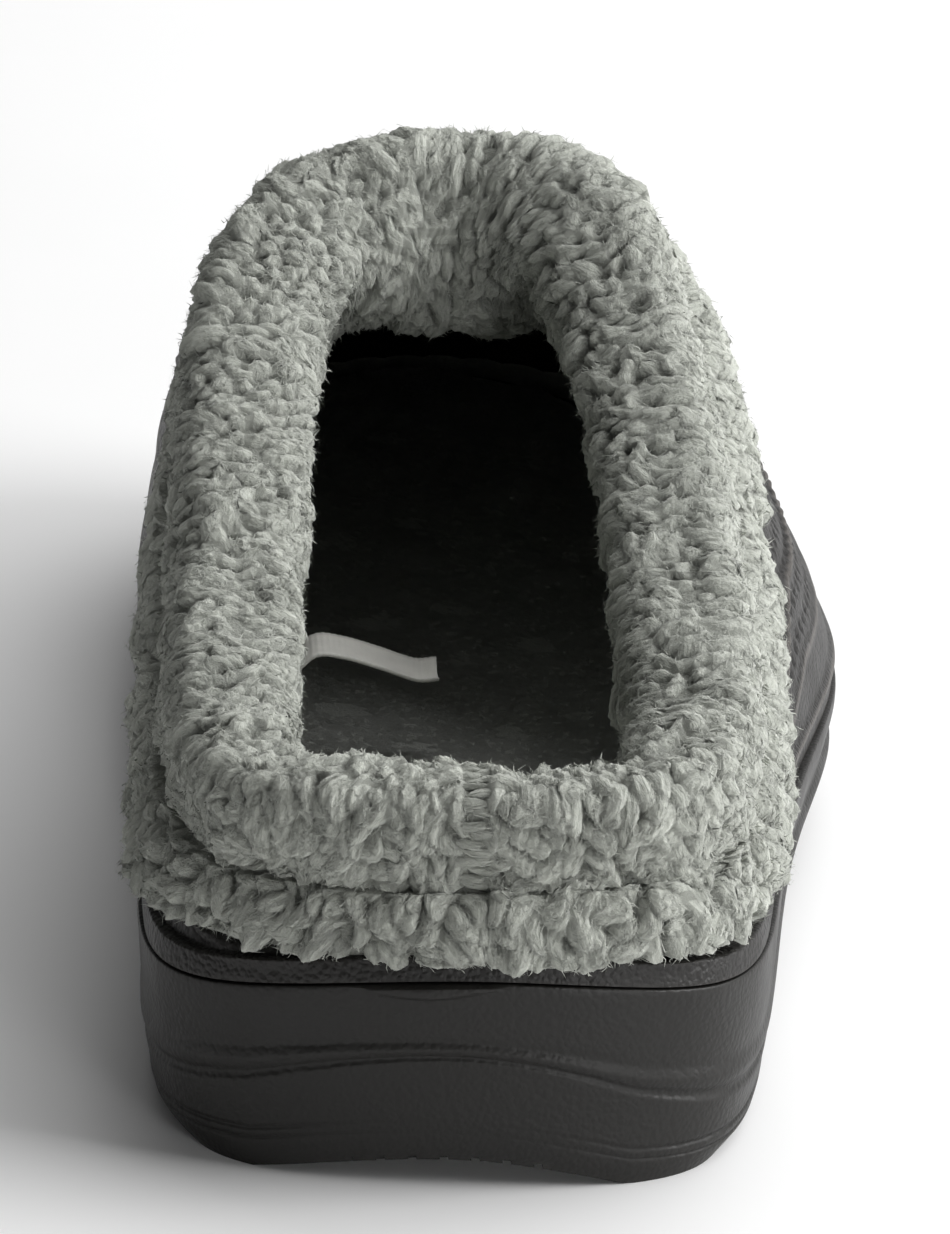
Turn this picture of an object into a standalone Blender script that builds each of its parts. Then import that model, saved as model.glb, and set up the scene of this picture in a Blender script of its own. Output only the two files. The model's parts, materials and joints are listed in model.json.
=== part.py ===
"""Fleece-lined moulded clog for the right foot, standing empty on its sole.

The toe points along +Y, the outer side of the foot along +X, and the floor is at Z = 0.
The stations run once round the shoe, from the heel back along the outer side to the toe and home along
the inner side. Sole, upper, fleece cuff and insole are all lofted from them.
"""

import math

import bmesh
import bpy
import numpy as np

MM = 0.001

# Driving dimensions
LENGTH = 292 * MM  # sole edge, heel back to toe tip
BALL_WIDTH = 108 * MM  # sole edge across the ball of the foot
HEEL_STACK = 30 * MM  # floor to the joint line at the heel back
INSTEP_HEIGHT = 99 * MM  # floor to the moulded rim at the front of the collar
WALL = 4 * MM  # moulded foam wall of the upper
GAP = 0.3 * MM  # clearance where two pieces meet
CUFF_GAP = 0.5 * MM  # clearance of the fleece cuff from the wall it hugs

# Insole, label and tread
INSOLE_INSET = 8.2 * MM
INSOLE_RISE = 3 * MM  # insole top above the joint line
INSOLE_ROUND = 2 * MM
RIBBON_WIDTH = 9 * MM
RIBBON_THICKNESS = 0.9 * MM
RIBBON_STATION = 12.72  # where the ribbon is sewn in, in stations round the shoe
RIBBON_DEPTH = 0.93  # share of the lining's depth
RIBBON_SEAM = 5.35 * MM  # from the moulded wall to the ribbon's sewn end, on the lining's face
HEEL_GROOVES = 7
HEEL_GROOVE_PITCH = 4.4 * MM
HEEL_GROOVE_MIDDLE = -2 * MM
HEEL_GROOVE_LENGTH = 62 * MM
NOTCH_LENGTH = 6 * MM  # rear notches, where the heel's lifted rear edge meets the grooves
NOTCH_DEPTH = 1.3 * MM
NOTCH_SPREAD = 24 * MM  # half width of the lifted part of the rear edge
FOREFOOT_GROOVES = 6
FOREFOOT_GROOVE_PITCH = 11 * MM
FOREFOOT_GROOVE_SPAN = 74 * MM
GROOVE_WIDTH = 1.7 * MM
GROOVE_DEPTH = 1.6 * MM

# Fleece locks raised on the cuff
LOCK_HEIGHT = 1.5 * MM
LOCK_LEAN = 1.2 * MM
LOCK_DROOP = 1.6 * MM
CUFF_POINTS = 90

POINTS_PER_STATION = 5

# The sole's stations, one row each: its top edge in shares of BALL_WIDTH (x) and LENGTH (y), the joint
# line in shares of HEEL_STACK and the two steps of its side in shares of its height there. The rest are
# millimetres: tread is its lift off the floor (below zero is trodden flat), curl how far in the flat
# tread begins, step the low groove's depth and ledge the ledge outside the upper.
SOLE_COLUMNS = ("name", "edge_x", "edge_y", "joint", "wave", "low", "tread", "curl", "step", "ledge")
SOLE_STATIONS = (
    ("heel_back", 0.014, 0.000, 1.000, 0.56, 0.20, 4.0, 3, 0.0, 2.2),
    ("heel_corner_out", 0.333, 0.026, 0.920, 0.46, 0.17, -3.0, 3, 0.8, 2.2),
    ("heel_side_out", 0.431, 0.144, 0.867, 0.40, 0.20, -1.6, 8, 0.9, 2.2),
    ("waist_out", 0.486, 0.315, 0.800, 0.43, 0.21, 2.4, 10, 0.9, 1.6),
    ("midfoot_out", 0.560, 0.473, 0.717, 0.45, 0.22, 0.8, 8, 0.9, 0.8),
    ("ball_out", 0.569, 0.610, 0.667, 0.47, 0.24, -1.6, 10, 0.9, 0.6),
    ("toe_side_out", 0.486, 0.781, 0.700, 0.45, 0.22, 1.0, 10, 0.9, 0.6),
    ("toe_corner_out", 0.366, 0.914, 0.783, 0.43, 0.20, 6.0, 12, 0.9, 0.6),
    ("toe_tip", 0.046, 1.000, 0.833, 0.42, 0.20, 8.0, 13, 0.9, 0.6),
    ("toe_corner_in", -0.287, 0.935, 0.800, 0.43, 0.20, 6.0, 12, 0.9, 0.6),
    ("toe_side_in", -0.392, 0.798, 0.717, 0.45, 0.22, 1.0, 10, 0.9, 0.6),
    ("ball_in", -0.413, 0.644, 0.667, 0.47, 0.24, -1.6, 10, 0.9, 0.6),
    ("arch_in", -0.410, 0.479, 0.717, 0.45, 0.22, 2.2, 10, 0.9, 0.8),
    ("waist_in", -0.406, 0.315, 0.800, 0.43, 0.21, 3.2, 10, 0.9, 1.6),
    ("heel_side_in", -0.422, 0.151, 0.867, 0.40, 0.20, -1.6, 8, 0.9, 2.2),
    ("heel_corner_in", -0.333, 0.043, 0.920, 0.46, 0.17, -3.0, 3, 0.8, 2.2),
)

# The upper's stations, at the same places: the moulded rim in shares of BALL_WIDTH (x), LENGTH (y) and
# INSTEP_HEIGHT (z). The rest are millimetres: rise and lean place the lower handle of the upper's rib,
# reach and fall its upper handle, and hem and lining are the fleece's drop outside and inside the rim.
UPPER_COLUMNS = ("name", "collar_x", "collar_y", "collar_z", "rise", "lean", "reach", "fall", "hem", "lining")
UPPER_STATIONS = (
    ("heel_back", 0.022, 0.027, 0.515, 9, -1.2, 1, 9, 17.5, 12),
    ("heel_corner_out", 0.276, 0.048, 0.515, 9, -1.2, 1, 9, 17.5, 12),
    ("heel_side_out", 0.333, 0.158, 0.566, 12, -1.0, 2, 12, 24.5, 19),
    ("waist_out", 0.324, 0.295, 0.717, 18, 0.5, 5, 16, 30, 34),
    ("midfoot_out", 0.287, 0.397, 0.869, 15, 0.5, 14, 20, 30, 38),
    ("ball_out", 0.222, 0.471, 0.960, 14, 0.0, 20, 22, 29, 36),
    ("toe_side_out", 0.134, 0.503, 0.993, 27, 1.5, 36, 20, 28, 34),
    ("toe_corner_out", 0.077, 0.511, 1.000, 38, 2.5, 50, 23, 27, 32),
    ("toe_tip", 0.019, 0.513, 1.000, 42, 2.5, 60, 27, 27, 32),
    ("toe_corner_in", -0.040, 0.511, 1.000, 38, 2.5, 50, 23, 27, 32),
    ("toe_side_in", -0.102, 0.503, 0.993, 27, 1.0, 36, 20, 28, 34),
    ("ball_in", -0.206, 0.474, 0.960, 14, 0.0, 20, 22, 29, 36),
    ("arch_in", -0.281, 0.402, 0.869, 18, 0.0, 10, 20, 30, 38),
    ("waist_in", -0.301, 0.295, 0.717, 20, 0.0, 5, 16, 30, 34),
    ("heel_side_in", -0.315, 0.158, 0.566, 12, -1.0, 2, 12, 24.5, 19),
    ("heel_corner_in", -0.250, 0.053, 0.515, 9, -1.2, 1, 9, 17.5, 12),
)

# The sole's section from its footbed, over the rim and down to the tread: the line each row is
# measured from, millimetres above it and millimetres in from the sole's top edge. The two floor rows
# give shares of the curl, past the low lip.
SOLE_ROWS = (
    ("tray_floor", "joint", -2.5, 7.4),
    ("tray_lip", "joint", 0.0, 6.6),
    ("rim_edge", "joint", 0.0, 0.9),
    ("shoulder", "joint", -1.3, 0.0),
    ("band_foot", "wave", 3.4, 1.4),
    ("ridge", "wave", 1.4, 1.0),
    ("groove", "wave", 0.0, 2.6),
    ("lower_lip", "wave", -1.5, 2.0),
    ("lower_band", "low", 1.3, 3.0),
    ("low_groove", "low", 0.0, 3.3),
    ("low_lip", "low", -1.2, 3.7),
    ("round", "floor", 1.6, 0.35),
    ("tread_edge", "floor", 0.0, 1.0),
)

# Ribs moulded on the upper's side: millimetres above the joint line, half width and relief.
UPPER_RIBS = (("lower_rib", 4.0, 1.3, 0.8), ("upper_rib", 24.0, 1.5, 0.9))

# The fleece cuff's free surface from the hem, over the rim and down the lining: the wall face it grows
# from (1 outer, 0 inner), share of the drop from the rim, lean of the pile in degrees from straight
# out, thickness in millimetres and share of the full lock relief.
CUFF_ROWS = (
    ("hem_edge", 1, 1.00, -50, 3.0, 0.3),
    ("hem_roll", 1, 0.88, -8, 4.9, 1.0),
    ("lower_roll", 1, 0.67, 0, 5.5, 1.0),
    ("crease", 1, 0.45, 0, 3.8, 0.4),
    ("upper_roll", 1, 0.24, 4, 6.4, 1.0),
    ("shoulder_out", 1, 0.02, 28, 8.2, 1.0),
    ("crown_out", 1, 0.00, 64, 9.6, 1.0),
    ("crown_in", 0, 0.00, 104, 9.8, 1.0),
    ("shoulder_in", 0, 0.00, 144, 9.2, 1.0),
    ("lining_upper", 0, 0.22, 174, 8.4, 1.0),
    ("lining_middle", 0, 0.48, 180, 7.6, 1.0),
    ("lining_lower", 0, 0.76, 180, 6.6, 1.0),
    ("lining_edge", 0, 1.00, 225, 3.6, 0.3),
)
SLOT_SHARES = (0.0, 0.34, 0.67, 1.0)  # rows where the cuff hugs the wall, as shares of its drop

# The label ribbon's arch, from its seam into the shoe: millimetres in from the lining and upwards.
RIBBON_ARCH = ((0.0, -2.4), (4.0, 0.6), (10.0, 2.8), (17.0, 2.0), (24.0, -0.6), (31.0, -3.4))

FOAM_COLOUR = (0.030, 0.029, 0.027, 1.0)
UPPER_COLOUR = (0.034, 0.032, 0.031, 1.0)
FLEECE_COLOUR = (0.235, 0.250, 0.222, 1.0)
INSOLE_COLOUR = (0.160, 0.170, 0.150, 1.0)
RIBBON_COLOUR = (0.700, 0.690, 0.640, 1.0)


def station_values():
    """Each column of the station tables in metres, or in shares for wave and low."""
    columns = dict(zip(SOLE_COLUMNS, zip(*SOLE_STATIONS)))
    columns.update(zip(UPPER_COLUMNS, zip(*UPPER_STATIONS)))
    values = {name: np.array(column, float) for name, column in columns.items() if name != "name"}
    units = {"edge_x": BALL_WIDTH, "collar_x": BALL_WIDTH, "edge_y": LENGTH, "collar_y": LENGTH}
    units.update({"joint": HEEL_STACK, "collar_z": INSTEP_HEIGHT, "wave": 1.0, "low": 1.0})
    return {name: column * units.get(name, MM) for name, column in values.items()}


VALUES = station_values()
STATION_COUNT = len(SOLE_STATIONS)
AROUND = np.arange(STATION_COUNT * POINTS_PER_STATION) / POINTS_PER_STATION


def spline_slopes(values):
    """Slopes that give a closed cubic spline through the station values a smooth curvature."""
    count = len(values)
    ring = np.eye(count)
    system = 4 * ring + np.roll(ring, 1, axis=1) + np.roll(ring, -1, axis=1)
    return np.linalg.solve(system, 3 * (np.roll(values, -1) - np.roll(values, 1)))


SLOPES = {name: spline_slopes(column) for name, column in VALUES.items()}


def station(name, u):
    """A column of the table at any place u round the shoe, counted in stations."""
    u = np.asarray(u, float)
    low = np.floor(u).astype(int)
    f = u - low
    i, j = low % STATION_COUNT, (low + 1) % STATION_COUNT
    values, slopes = VALUES[name], SLOPES[name]
    return (
        values[i] * (1 + 2 * f) * (1 - f) ** 2
        + slopes[i] * f * (1 - f) ** 2
        + values[j] * f * f * (3 - 2 * f)
        + slopes[j] * f * f * (f - 1)
    )


def unit(vectors):
    return vectors / np.linalg.norm(vectors, axis=-1, keepdims=True)


def edge_outward(u):
    """Outward direction in plan, square to the sole's edge."""
    step = 1e-3
    dx = station("edge_x", u + step) - station("edge_x", u - step)
    dy = station("edge_y", u + step) - station("edge_y", u - step)
    return unit(np.stack([dy, -dx], axis=-1))


def edge_points(u, inset, height):
    """Points on the sole's edge moved in by inset, at the given height."""
    plan = np.stack([station("edge_x", u), station("edge_y", u)], axis=-1)
    plan = plan - edge_outward(u) * np.asarray(inset)[..., None]
    return np.concatenate([plan, np.broadcast_to(height, np.shape(u))[..., None]], axis=-1)


def sole_line(name, u):
    """Height of one of the lines that the sole's section is measured from."""
    floor = np.maximum(station("tread", u), 0.0)
    if name == "floor":
        return floor
    joint = station("joint", u)
    return joint if name == "joint" else floor + station(name, u) * (joint - floor)


def rib_point(u, t):
    """The upper's outer face: a cubic rib from its foot on the sole (t = 0) to the moulded rim (t = 1)."""
    u, t = np.broadcast_arrays(np.asarray(u, float), np.asarray(t, float))
    foot = edge_points(u, station("ledge", u), station("joint", u) + GAP)
    rim = np.stack([station("collar_x", u), station("collar_y", u), station("collar_z", u)], axis=-1)
    outward = edge_outward(u) * station("lean", u)[..., None]
    lower = foot + np.concatenate([outward, station("rise", u)[..., None]], axis=-1)
    towards_foot = unit((foot - rim)[..., :2]) * station("reach", u)[..., None]
    upper = rim + np.concatenate([towards_foot, -station("fall", u)[..., None]], axis=-1)
    t = t[..., None]
    s = 1 - t
    return foot * s**3 + 3 * lower * s * s * t + 3 * upper * s * t * t + rim * t**3


def upper_face(u, t):
    """Point, outward normal and upward direction on the upper's outer face."""
    du, dt = 1e-3, 1e-3
    low, high = np.clip(t - dt, 0, 1), np.clip(t + dt, 0, 1)
    along = rib_point(u + du, t) - rib_point(u - du, t)
    up = rib_point(u, high) - rib_point(u, low)
    return rib_point(u, t), unit(np.cross(along, up)), unit(up)


def t_where(u, measure, wanted):
    """Rib parameter at which a rising measure of each rib reaches the wanted value."""
    steps = np.linspace(0, 1, 121)
    curves = rib_point(np.asarray(u)[:, None], steps[None, :])
    return np.array([np.interp(w, measure(c), steps) for c, w in zip(curves, wanted)])


def t_at_height(u, height):
    return t_where(u, lambda curve: curve[:, 2], station("joint", u) + height)


def t_at_drop(u, drop):
    """Rib parameter at a distance along the rib below the rim."""

    def minus_drop(curve):
        lengths = np.linalg.norm(np.diff(curve, axis=0), axis=1)
        return np.concatenate([[0], np.cumsum(lengths)]) - lengths.sum()

    return t_where(u, minus_drop, -drop)


def loft(name, rings, colour, roughness, closed=False):
    """One object lofted through rings of equal count. Open ends are closed by strips across the shoe."""
    rings = np.array(rings)
    rows, count = rings.shape[:2]
    faces = []
    for row in range(rows if closed else rows - 1):
        here, there = row * count, (row + 1) % rows * count
        faces += [(here + i, here + (i + 1) % count, there + (i + 1) % count, there + i) for i in range(count)]
    if not closed:
        for start in (0, (rows - 1) * count):
            faces += [
                (start + i, start + i + 1, start + count - i - 1, start + (count - i) % count)
                for i in range(count // 2)
            ]
    return make_object(name, rings.reshape(-1, 3), faces, colour, roughness)


def make_object(name, points, faces, colour, roughness):
    """A closed mesh object with faces pointing out, smooth where its angles allow, in its own material."""
    mesh = bpy.data.meshes.new(name)
    mesh.from_pydata([tuple(p) for p in points], [], faces)
    form = bmesh.new()
    form.from_mesh(mesh)
    bmesh.ops.dissolve_degenerate(form, edges=form.edges, dist=1e-6)
    bmesh.ops.recalc_face_normals(form, faces=form.faces)
    form.to_mesh(mesh)
    form.free()
    mesh.shade_smooth()
    mesh.set_sharp_from_angle(angle=math.radians(42))
    mesh.materials.append(make_material(name, colour, roughness))
    made = bpy.data.objects.new(name, mesh)
    PARTS.objects.link(made)
    made.parent = ROOT
    return made


def make_material(name, colour, roughness):
    material = bpy.data.materials.new(name)
    material.use_nodes = True
    shader = material.node_tree.nodes["Principled BSDF"]
    shader.inputs["Base Color"].default_value = colour
    shader.inputs["Roughness"].default_value = roughness
    shader.inputs["Metallic"].default_value = 0.0
    return material


def make_sole():
    """Foam sole: a tray for the insole, a flat rim for the upper and a stepped, waving side."""
    rings = []
    low_lip = SOLE_ROWS[-3][3] * MM
    for name, line, rise, inset in SOLE_ROWS:
        if line == "floor":
            inward = low_lip + inset * (station("curl", AROUND) - 0.5 * low_lip)
        else:
            inward = inset * MM + (station("step", AROUND) if name == "low_groove" else 0.0)
        rings.append(edge_points(AROUND, inward, sole_line(line, AROUND) + rise * MM))
    sole = loft("sole", rings, FOAM_COLOUR, 0.55)
    cut = sole.modifiers.new("tread_grooves", "BOOLEAN")
    cut.operand_type = "COLLECTION"
    cut.collection = CUTTERS
    cut.operation = "DIFFERENCE"
    cut.solver = "EXACT"
    return sole


def groove_cutter(name, low, high):
    """A hidden box between two corners that cuts one tread groove."""
    low, high = np.array(low), np.array(high)
    bpy.ops.mesh.primitive_cube_add(size=1, location=(low + high) / 2)
    cutter = bpy.context.active_object
    cutter.name = name
    cutter.scale = high - low
    cutter.hide_render = True
    cutter.display_type = "WIRE"
    for collection in list(cutter.users_collection):
        collection.objects.unlink(cutter)
    CUTTERS.objects.link(cutter)
    cutter.parent = ROOT
    return cutter


def make_tread_cutters():
    """Lengthwise grooves under the heel, notching its lifted rear edge, and cross grooves at the ball."""
    under = -5 * MM
    half = GROOVE_WIDTH / 2
    for number in range(HEEL_GROOVES):
        x = HEEL_GROOVE_MIDDLE + (number - (HEEL_GROOVES - 1) / 2) * HEEL_GROOVE_PITCH
        groove_cutter(f"heel_groove_{number}", (x - half, 0, under), (x + half, HEEL_GROOVE_LENGTH, GROOVE_DEPTH))
        lift = VALUES["tread"][0] * (1 - (x / NOTCH_SPREAD) ** 2) + NOTCH_DEPTH
        groove_cutter(f"rear_notch_{number}", (x - half, under, under), (x + half, NOTCH_LENGTH, lift))
    ball = [i for i, row in enumerate(SOLE_STATIONS) if row[0].startswith("ball")]
    across, middle = VALUES["edge_x"][ball].mean(), VALUES["edge_y"][ball].mean()
    for number in range(FOREFOOT_GROOVES):
        y = middle + (number - (FOREFOOT_GROOVES - 1) / 2) * FOREFOOT_GROOVE_PITCH
        low = (across - FOREFOOT_GROOVE_SPAN / 2, y - GROOVE_WIDTH, under)
        high = (across + FOREFOOT_GROOVE_SPAN / 2, y + GROOVE_WIDTH, GROOVE_DEPTH)
        groove_cutter(f"forefoot_groove_{number}", low, high)


def rib_relief(u):
    """How far the moulded ribs stand out: full along sides and toe, nothing round the heel."""
    from_heel = np.minimum(u, STATION_COUNT - u)
    return np.clip((from_heel - 1.5) / 2.0, 0, 1)


def upper_rows():
    """(rib parameter, relief) rows of the upper's outer face, from its foot to the rim."""
    hem = station("hem", AROUND)
    below_hem = t_at_drop(AROUND, hem + 3 * MM)
    room = rib_point(AROUND, below_hem)[:, 2] - station("joint", AROUND)
    rows = [(np.zeros_like(AROUND), 0.0)]
    for (_, height, half, relief), share in zip(UPPER_RIBS, (0.30, 0.70)):
        middle = np.minimum(height * MM, share * room)
        half_width = np.minimum(half * MM, 0.12 * room)
        for offset, proud in ((-1, 0.0), (0, relief * MM), (1, 0.0)):
            rows.append((t_at_height(AROUND, middle + offset * half_width), proud))
    last = rows[-1][0]
    rows += [(last + (below_hem - last) * share, 0.0) for share in (0.12, 0.26, 0.42, 0.60, 0.80, 1.0)]
    rows += [(t_at_drop(AROUND, hem * share), 0.0) for share in SLOT_SHARES[2:0:-1]]
    return rows + [(np.ones_like(AROUND), 0.0)]


def make_upper():
    """Moulded upper: one hollow wall, open at the collar and underneath where the sole closes it."""
    rings = []
    for t, proud in upper_rows():
        point, normal, _ = upper_face(AROUND, t)
        rings.append(point + normal * (proud * rib_relief(AROUND))[:, None])
    lining = station("lining", AROUND)
    inner = [t_at_drop(AROUND, lining * share) for share in SLOT_SHARES]
    inner += [inner[-1] * share for share in (0.75, 0.5, 0.25, 0.0)]
    for t in inner:
        point, normal, _ = upper_face(AROUND, t)
        rings.append(point - normal * WALL)
    rings[-1][:, 2] = rings[0][:, 2]
    return loft("upper", rings, UPPER_COLOUR, 0.6, closed=True)


def even_collar(count):
    """Places round the shoe that lie evenly spaced along the collar, an even count of them."""
    fine = np.linspace(0, STATION_COUNT, 40 * STATION_COUNT + 1)
    rim = rib_point(fine, 1.0)
    length = np.concatenate([[0], np.cumsum(np.linalg.norm(np.diff(rim, axis=0), axis=1))])
    return np.interp(np.arange(count) / count * length[-1], length, fine)


def lock_chance(row, kind):
    """A settled chance from -1 to 1 for each point of a cuff row."""
    wander = np.sin(np.arange(CUFF_POINTS) * 12.9898 + row * 78.233 + kind * 37.719) * 43758.5453
    return 2 * (wander - np.floor(wander)) - 1


def lock_pattern(row):
    """Relief, sideways lean and droop of the locks along a cuff row: every other point a tip, no two alike."""
    tip = np.where((np.arange(CUFF_POINTS) + row) % 2 == 0, 1.0, -0.6)
    relief = tip * (0.8 + 0.35 * lock_chance(row, 0))
    droop = np.maximum(tip, 0) * (1.0 + 0.6 * lock_chance(row, 2))
    return relief, lock_chance(row, 1), droop


def cuff_face(u, outer, drop):
    """Wall point, outward normal and upward direction at a drop below the rim, on the outer or inner face."""
    point, normal, up = upper_face(u, t_at_drop(u, drop))
    return (point if outer else point - normal * WALL), normal, up


def make_cuff():
    """Fleece cuff: turned over the moulded rim, hanging outside to its hem and lining the inside."""
    around = even_collar(CUFF_POINTS)
    drops = {1: station("hem", around), 0: station("lining", around)}
    rings = []
    for row, (_, outer, share, angle, thickness, relief) in enumerate(CUFF_ROWS):
        point, normal, up = cuff_face(around, outer, drops[outer] * share)
        turn = math.radians(angle)
        away = normal * math.cos(turn) + up * math.sin(turn)
        raised, lean, droop = lock_pattern(row)
        lift = thickness * MM + raised * LOCK_HEIGHT * relief
        fall = up * (droop * LOCK_DROOP * relief * abs(math.cos(turn)))[:, None]
        sideways = np.cross(up, normal) * (lean * LOCK_LEAN * relief)[:, None]
        rings.append(point + away * lift[:, None] - fall + sideways)
    for outer, shares in ((0, SLOT_SHARES[::-1]), (1, SLOT_SHARES)):
        for share in shares:
            point, normal, up = cuff_face(around, outer, drops[outer] * share)
            lift = up * CUFF_GAP if share == 0 else 0.0
            rings.append(point + normal * (CUFF_GAP if outer else -CUFF_GAP) + lift)
    return loft("fleece_cuff", rings, FLEECE_COLOUR, 0.95, closed=True)


def make_insole():
    """Fleece-topped insole in the sole's tray."""
    floor = station("joint", AROUND) + SOLE_ROWS[0][2] * MM + GAP
    top = station("joint", AROUND) + INSOLE_RISE
    rings = [
        edge_points(AROUND, INSOLE_INSET, floor),
        edge_points(AROUND, INSOLE_INSET, top - INSOLE_ROUND),
        edge_points(AROUND, INSOLE_INSET + INSOLE_ROUND, top),
    ]
    return loft("insole", rings, INSOLE_COLOUR, 0.95)


def make_ribbon():
    """Blank label ribbon: a woven strip sewn into the lining at the inner side of the waist."""
    u = np.array([RIBBON_STATION])
    point, normal, up = cuff_face(u, 0, station("lining", u) * RIBBON_DEPTH)
    inward = unit(-normal * np.array([1, 1, 0]))[0]
    seam = (point - normal * RIBBON_SEAM)[0]
    along = np.cross(inward, (0, 0, 1)) * RIBBON_WIDTH / 2
    strip = [seam + inward * reach * MM + np.array([0, 0, rise * MM]) for reach, rise in RIBBON_ARCH]
    points = [p + side for p in strip for side in (-along, along)]
    faces = [(2 * i, 2 * i + 1, 2 * i + 3, 2 * i + 2) for i in range(len(strip) - 1)]
    ribbon = make_object("label_ribbon", points, faces, RIBBON_COLOUR, 0.8)
    thick = ribbon.modifiers.new("weave_thickness", "SOLIDIFY")
    thick.thickness = RIBBON_THICKNESS
    thick.offset = 0
    return ribbon


def centre_on_origin():
    """Moves the whole shoe so that the origin lies on the floor under the middle of its box."""
    bpy.context.view_layer.update()
    graph = bpy.context.evaluated_depsgraph_get()
    corners = []
    for part in PARTS.objects:
        if part.type == "MESH":
            corners += [part.matrix_world @ v.co for v in part.evaluated_get(graph).data.vertices]
    corners = np.array(corners)
    middle = (corners.min(axis=0) + corners.max(axis=0)) / 2
    ROOT.location = (-middle[0], -middle[1], -corners[:, 2].min())


for leftover in list(bpy.data.objects):
    bpy.data.objects.remove(leftover)
PARTS = bpy.data.collections.new("lined_clog")
CUTTERS = bpy.data.collections.new("tread_cutters")
for group in (PARTS, CUTTERS):
    bpy.context.scene.collection.children.link(group)
ROOT = bpy.data.objects.new("clog_origin", None)
PARTS.objects.link(ROOT)

make_tread_cutters()
make_sole()
make_upper()
make_cuff()
make_insole()
make_ribbon()
centre_on_origin()
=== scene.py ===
"""Looks of a fleece-lined moulded clog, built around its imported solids.

Run as a script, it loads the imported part, registers the operators below and calls them in order. Each
operator makes one piece of the shoe, or one group of like pieces, in metres and in the part's own frame.
Sole, upper, fleece and insole are all lofted from two tables of stations that run once round the shoe,
from the heel back along the outer side to the toe and home along the inner side.
"""

import json
import math

import bpy
import numpy as np
from bpy.props import FloatProperty, FloatVectorProperty, IntProperty, PointerProperty
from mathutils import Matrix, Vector
from mathutils.kdtree import KDTree

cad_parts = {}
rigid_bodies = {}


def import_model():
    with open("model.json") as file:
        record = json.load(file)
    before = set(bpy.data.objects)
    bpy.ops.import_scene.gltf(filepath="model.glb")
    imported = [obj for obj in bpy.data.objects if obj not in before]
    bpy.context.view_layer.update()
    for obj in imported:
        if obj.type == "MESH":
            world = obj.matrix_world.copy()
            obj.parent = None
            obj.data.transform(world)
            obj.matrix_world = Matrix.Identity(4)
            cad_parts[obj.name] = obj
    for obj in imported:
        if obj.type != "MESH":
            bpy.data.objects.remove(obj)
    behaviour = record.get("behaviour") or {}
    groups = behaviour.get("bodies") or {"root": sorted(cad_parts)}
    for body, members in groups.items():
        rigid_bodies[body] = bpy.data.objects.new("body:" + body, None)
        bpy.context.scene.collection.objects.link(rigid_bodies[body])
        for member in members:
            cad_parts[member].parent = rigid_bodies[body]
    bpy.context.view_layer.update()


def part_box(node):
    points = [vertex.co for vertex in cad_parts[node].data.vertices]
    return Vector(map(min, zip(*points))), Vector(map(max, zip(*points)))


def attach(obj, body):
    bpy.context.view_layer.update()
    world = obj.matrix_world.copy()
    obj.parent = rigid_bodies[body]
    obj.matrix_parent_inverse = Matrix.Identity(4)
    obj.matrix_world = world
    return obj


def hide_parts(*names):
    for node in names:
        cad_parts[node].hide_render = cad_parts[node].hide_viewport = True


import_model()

bl_info = {
    "name": "Fleece-Lined Clog",
    "version": (1, 0, 0),
    "blender": (4, 5, 0),
    "location": "3D View > Sidebar > Clog",
    "description": "Dresses the packed solids of a fleece-lined moulded clog",
    "category": "Object",
}

MM = 0.001

# Driving dimensions, the same as the part's own
LENGTH = 292 * MM
BALL_WIDTH = 108 * MM
HEEL_STACK = 30 * MM
INSTEP_HEIGHT = 99 * MM
WALL = 4 * MM
GAP = 0.3 * MM
CUFF_GAP = 0.5 * MM
TRAY_DEPTH = 2.5 * MM
INSOLE_INSET = 8.2 * MM
INSOLE_RISE = 3 * MM
INSOLE_ROUND = 2 * MM

# Points round each piece
SOLE_AROUND = 400
UPPER_AROUND = 780
BACKING_AROUND = 260
LINING_AROUND = 300
COAT_AROUND = 1350
INSOLE_STEPS = 20  # to a station

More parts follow.
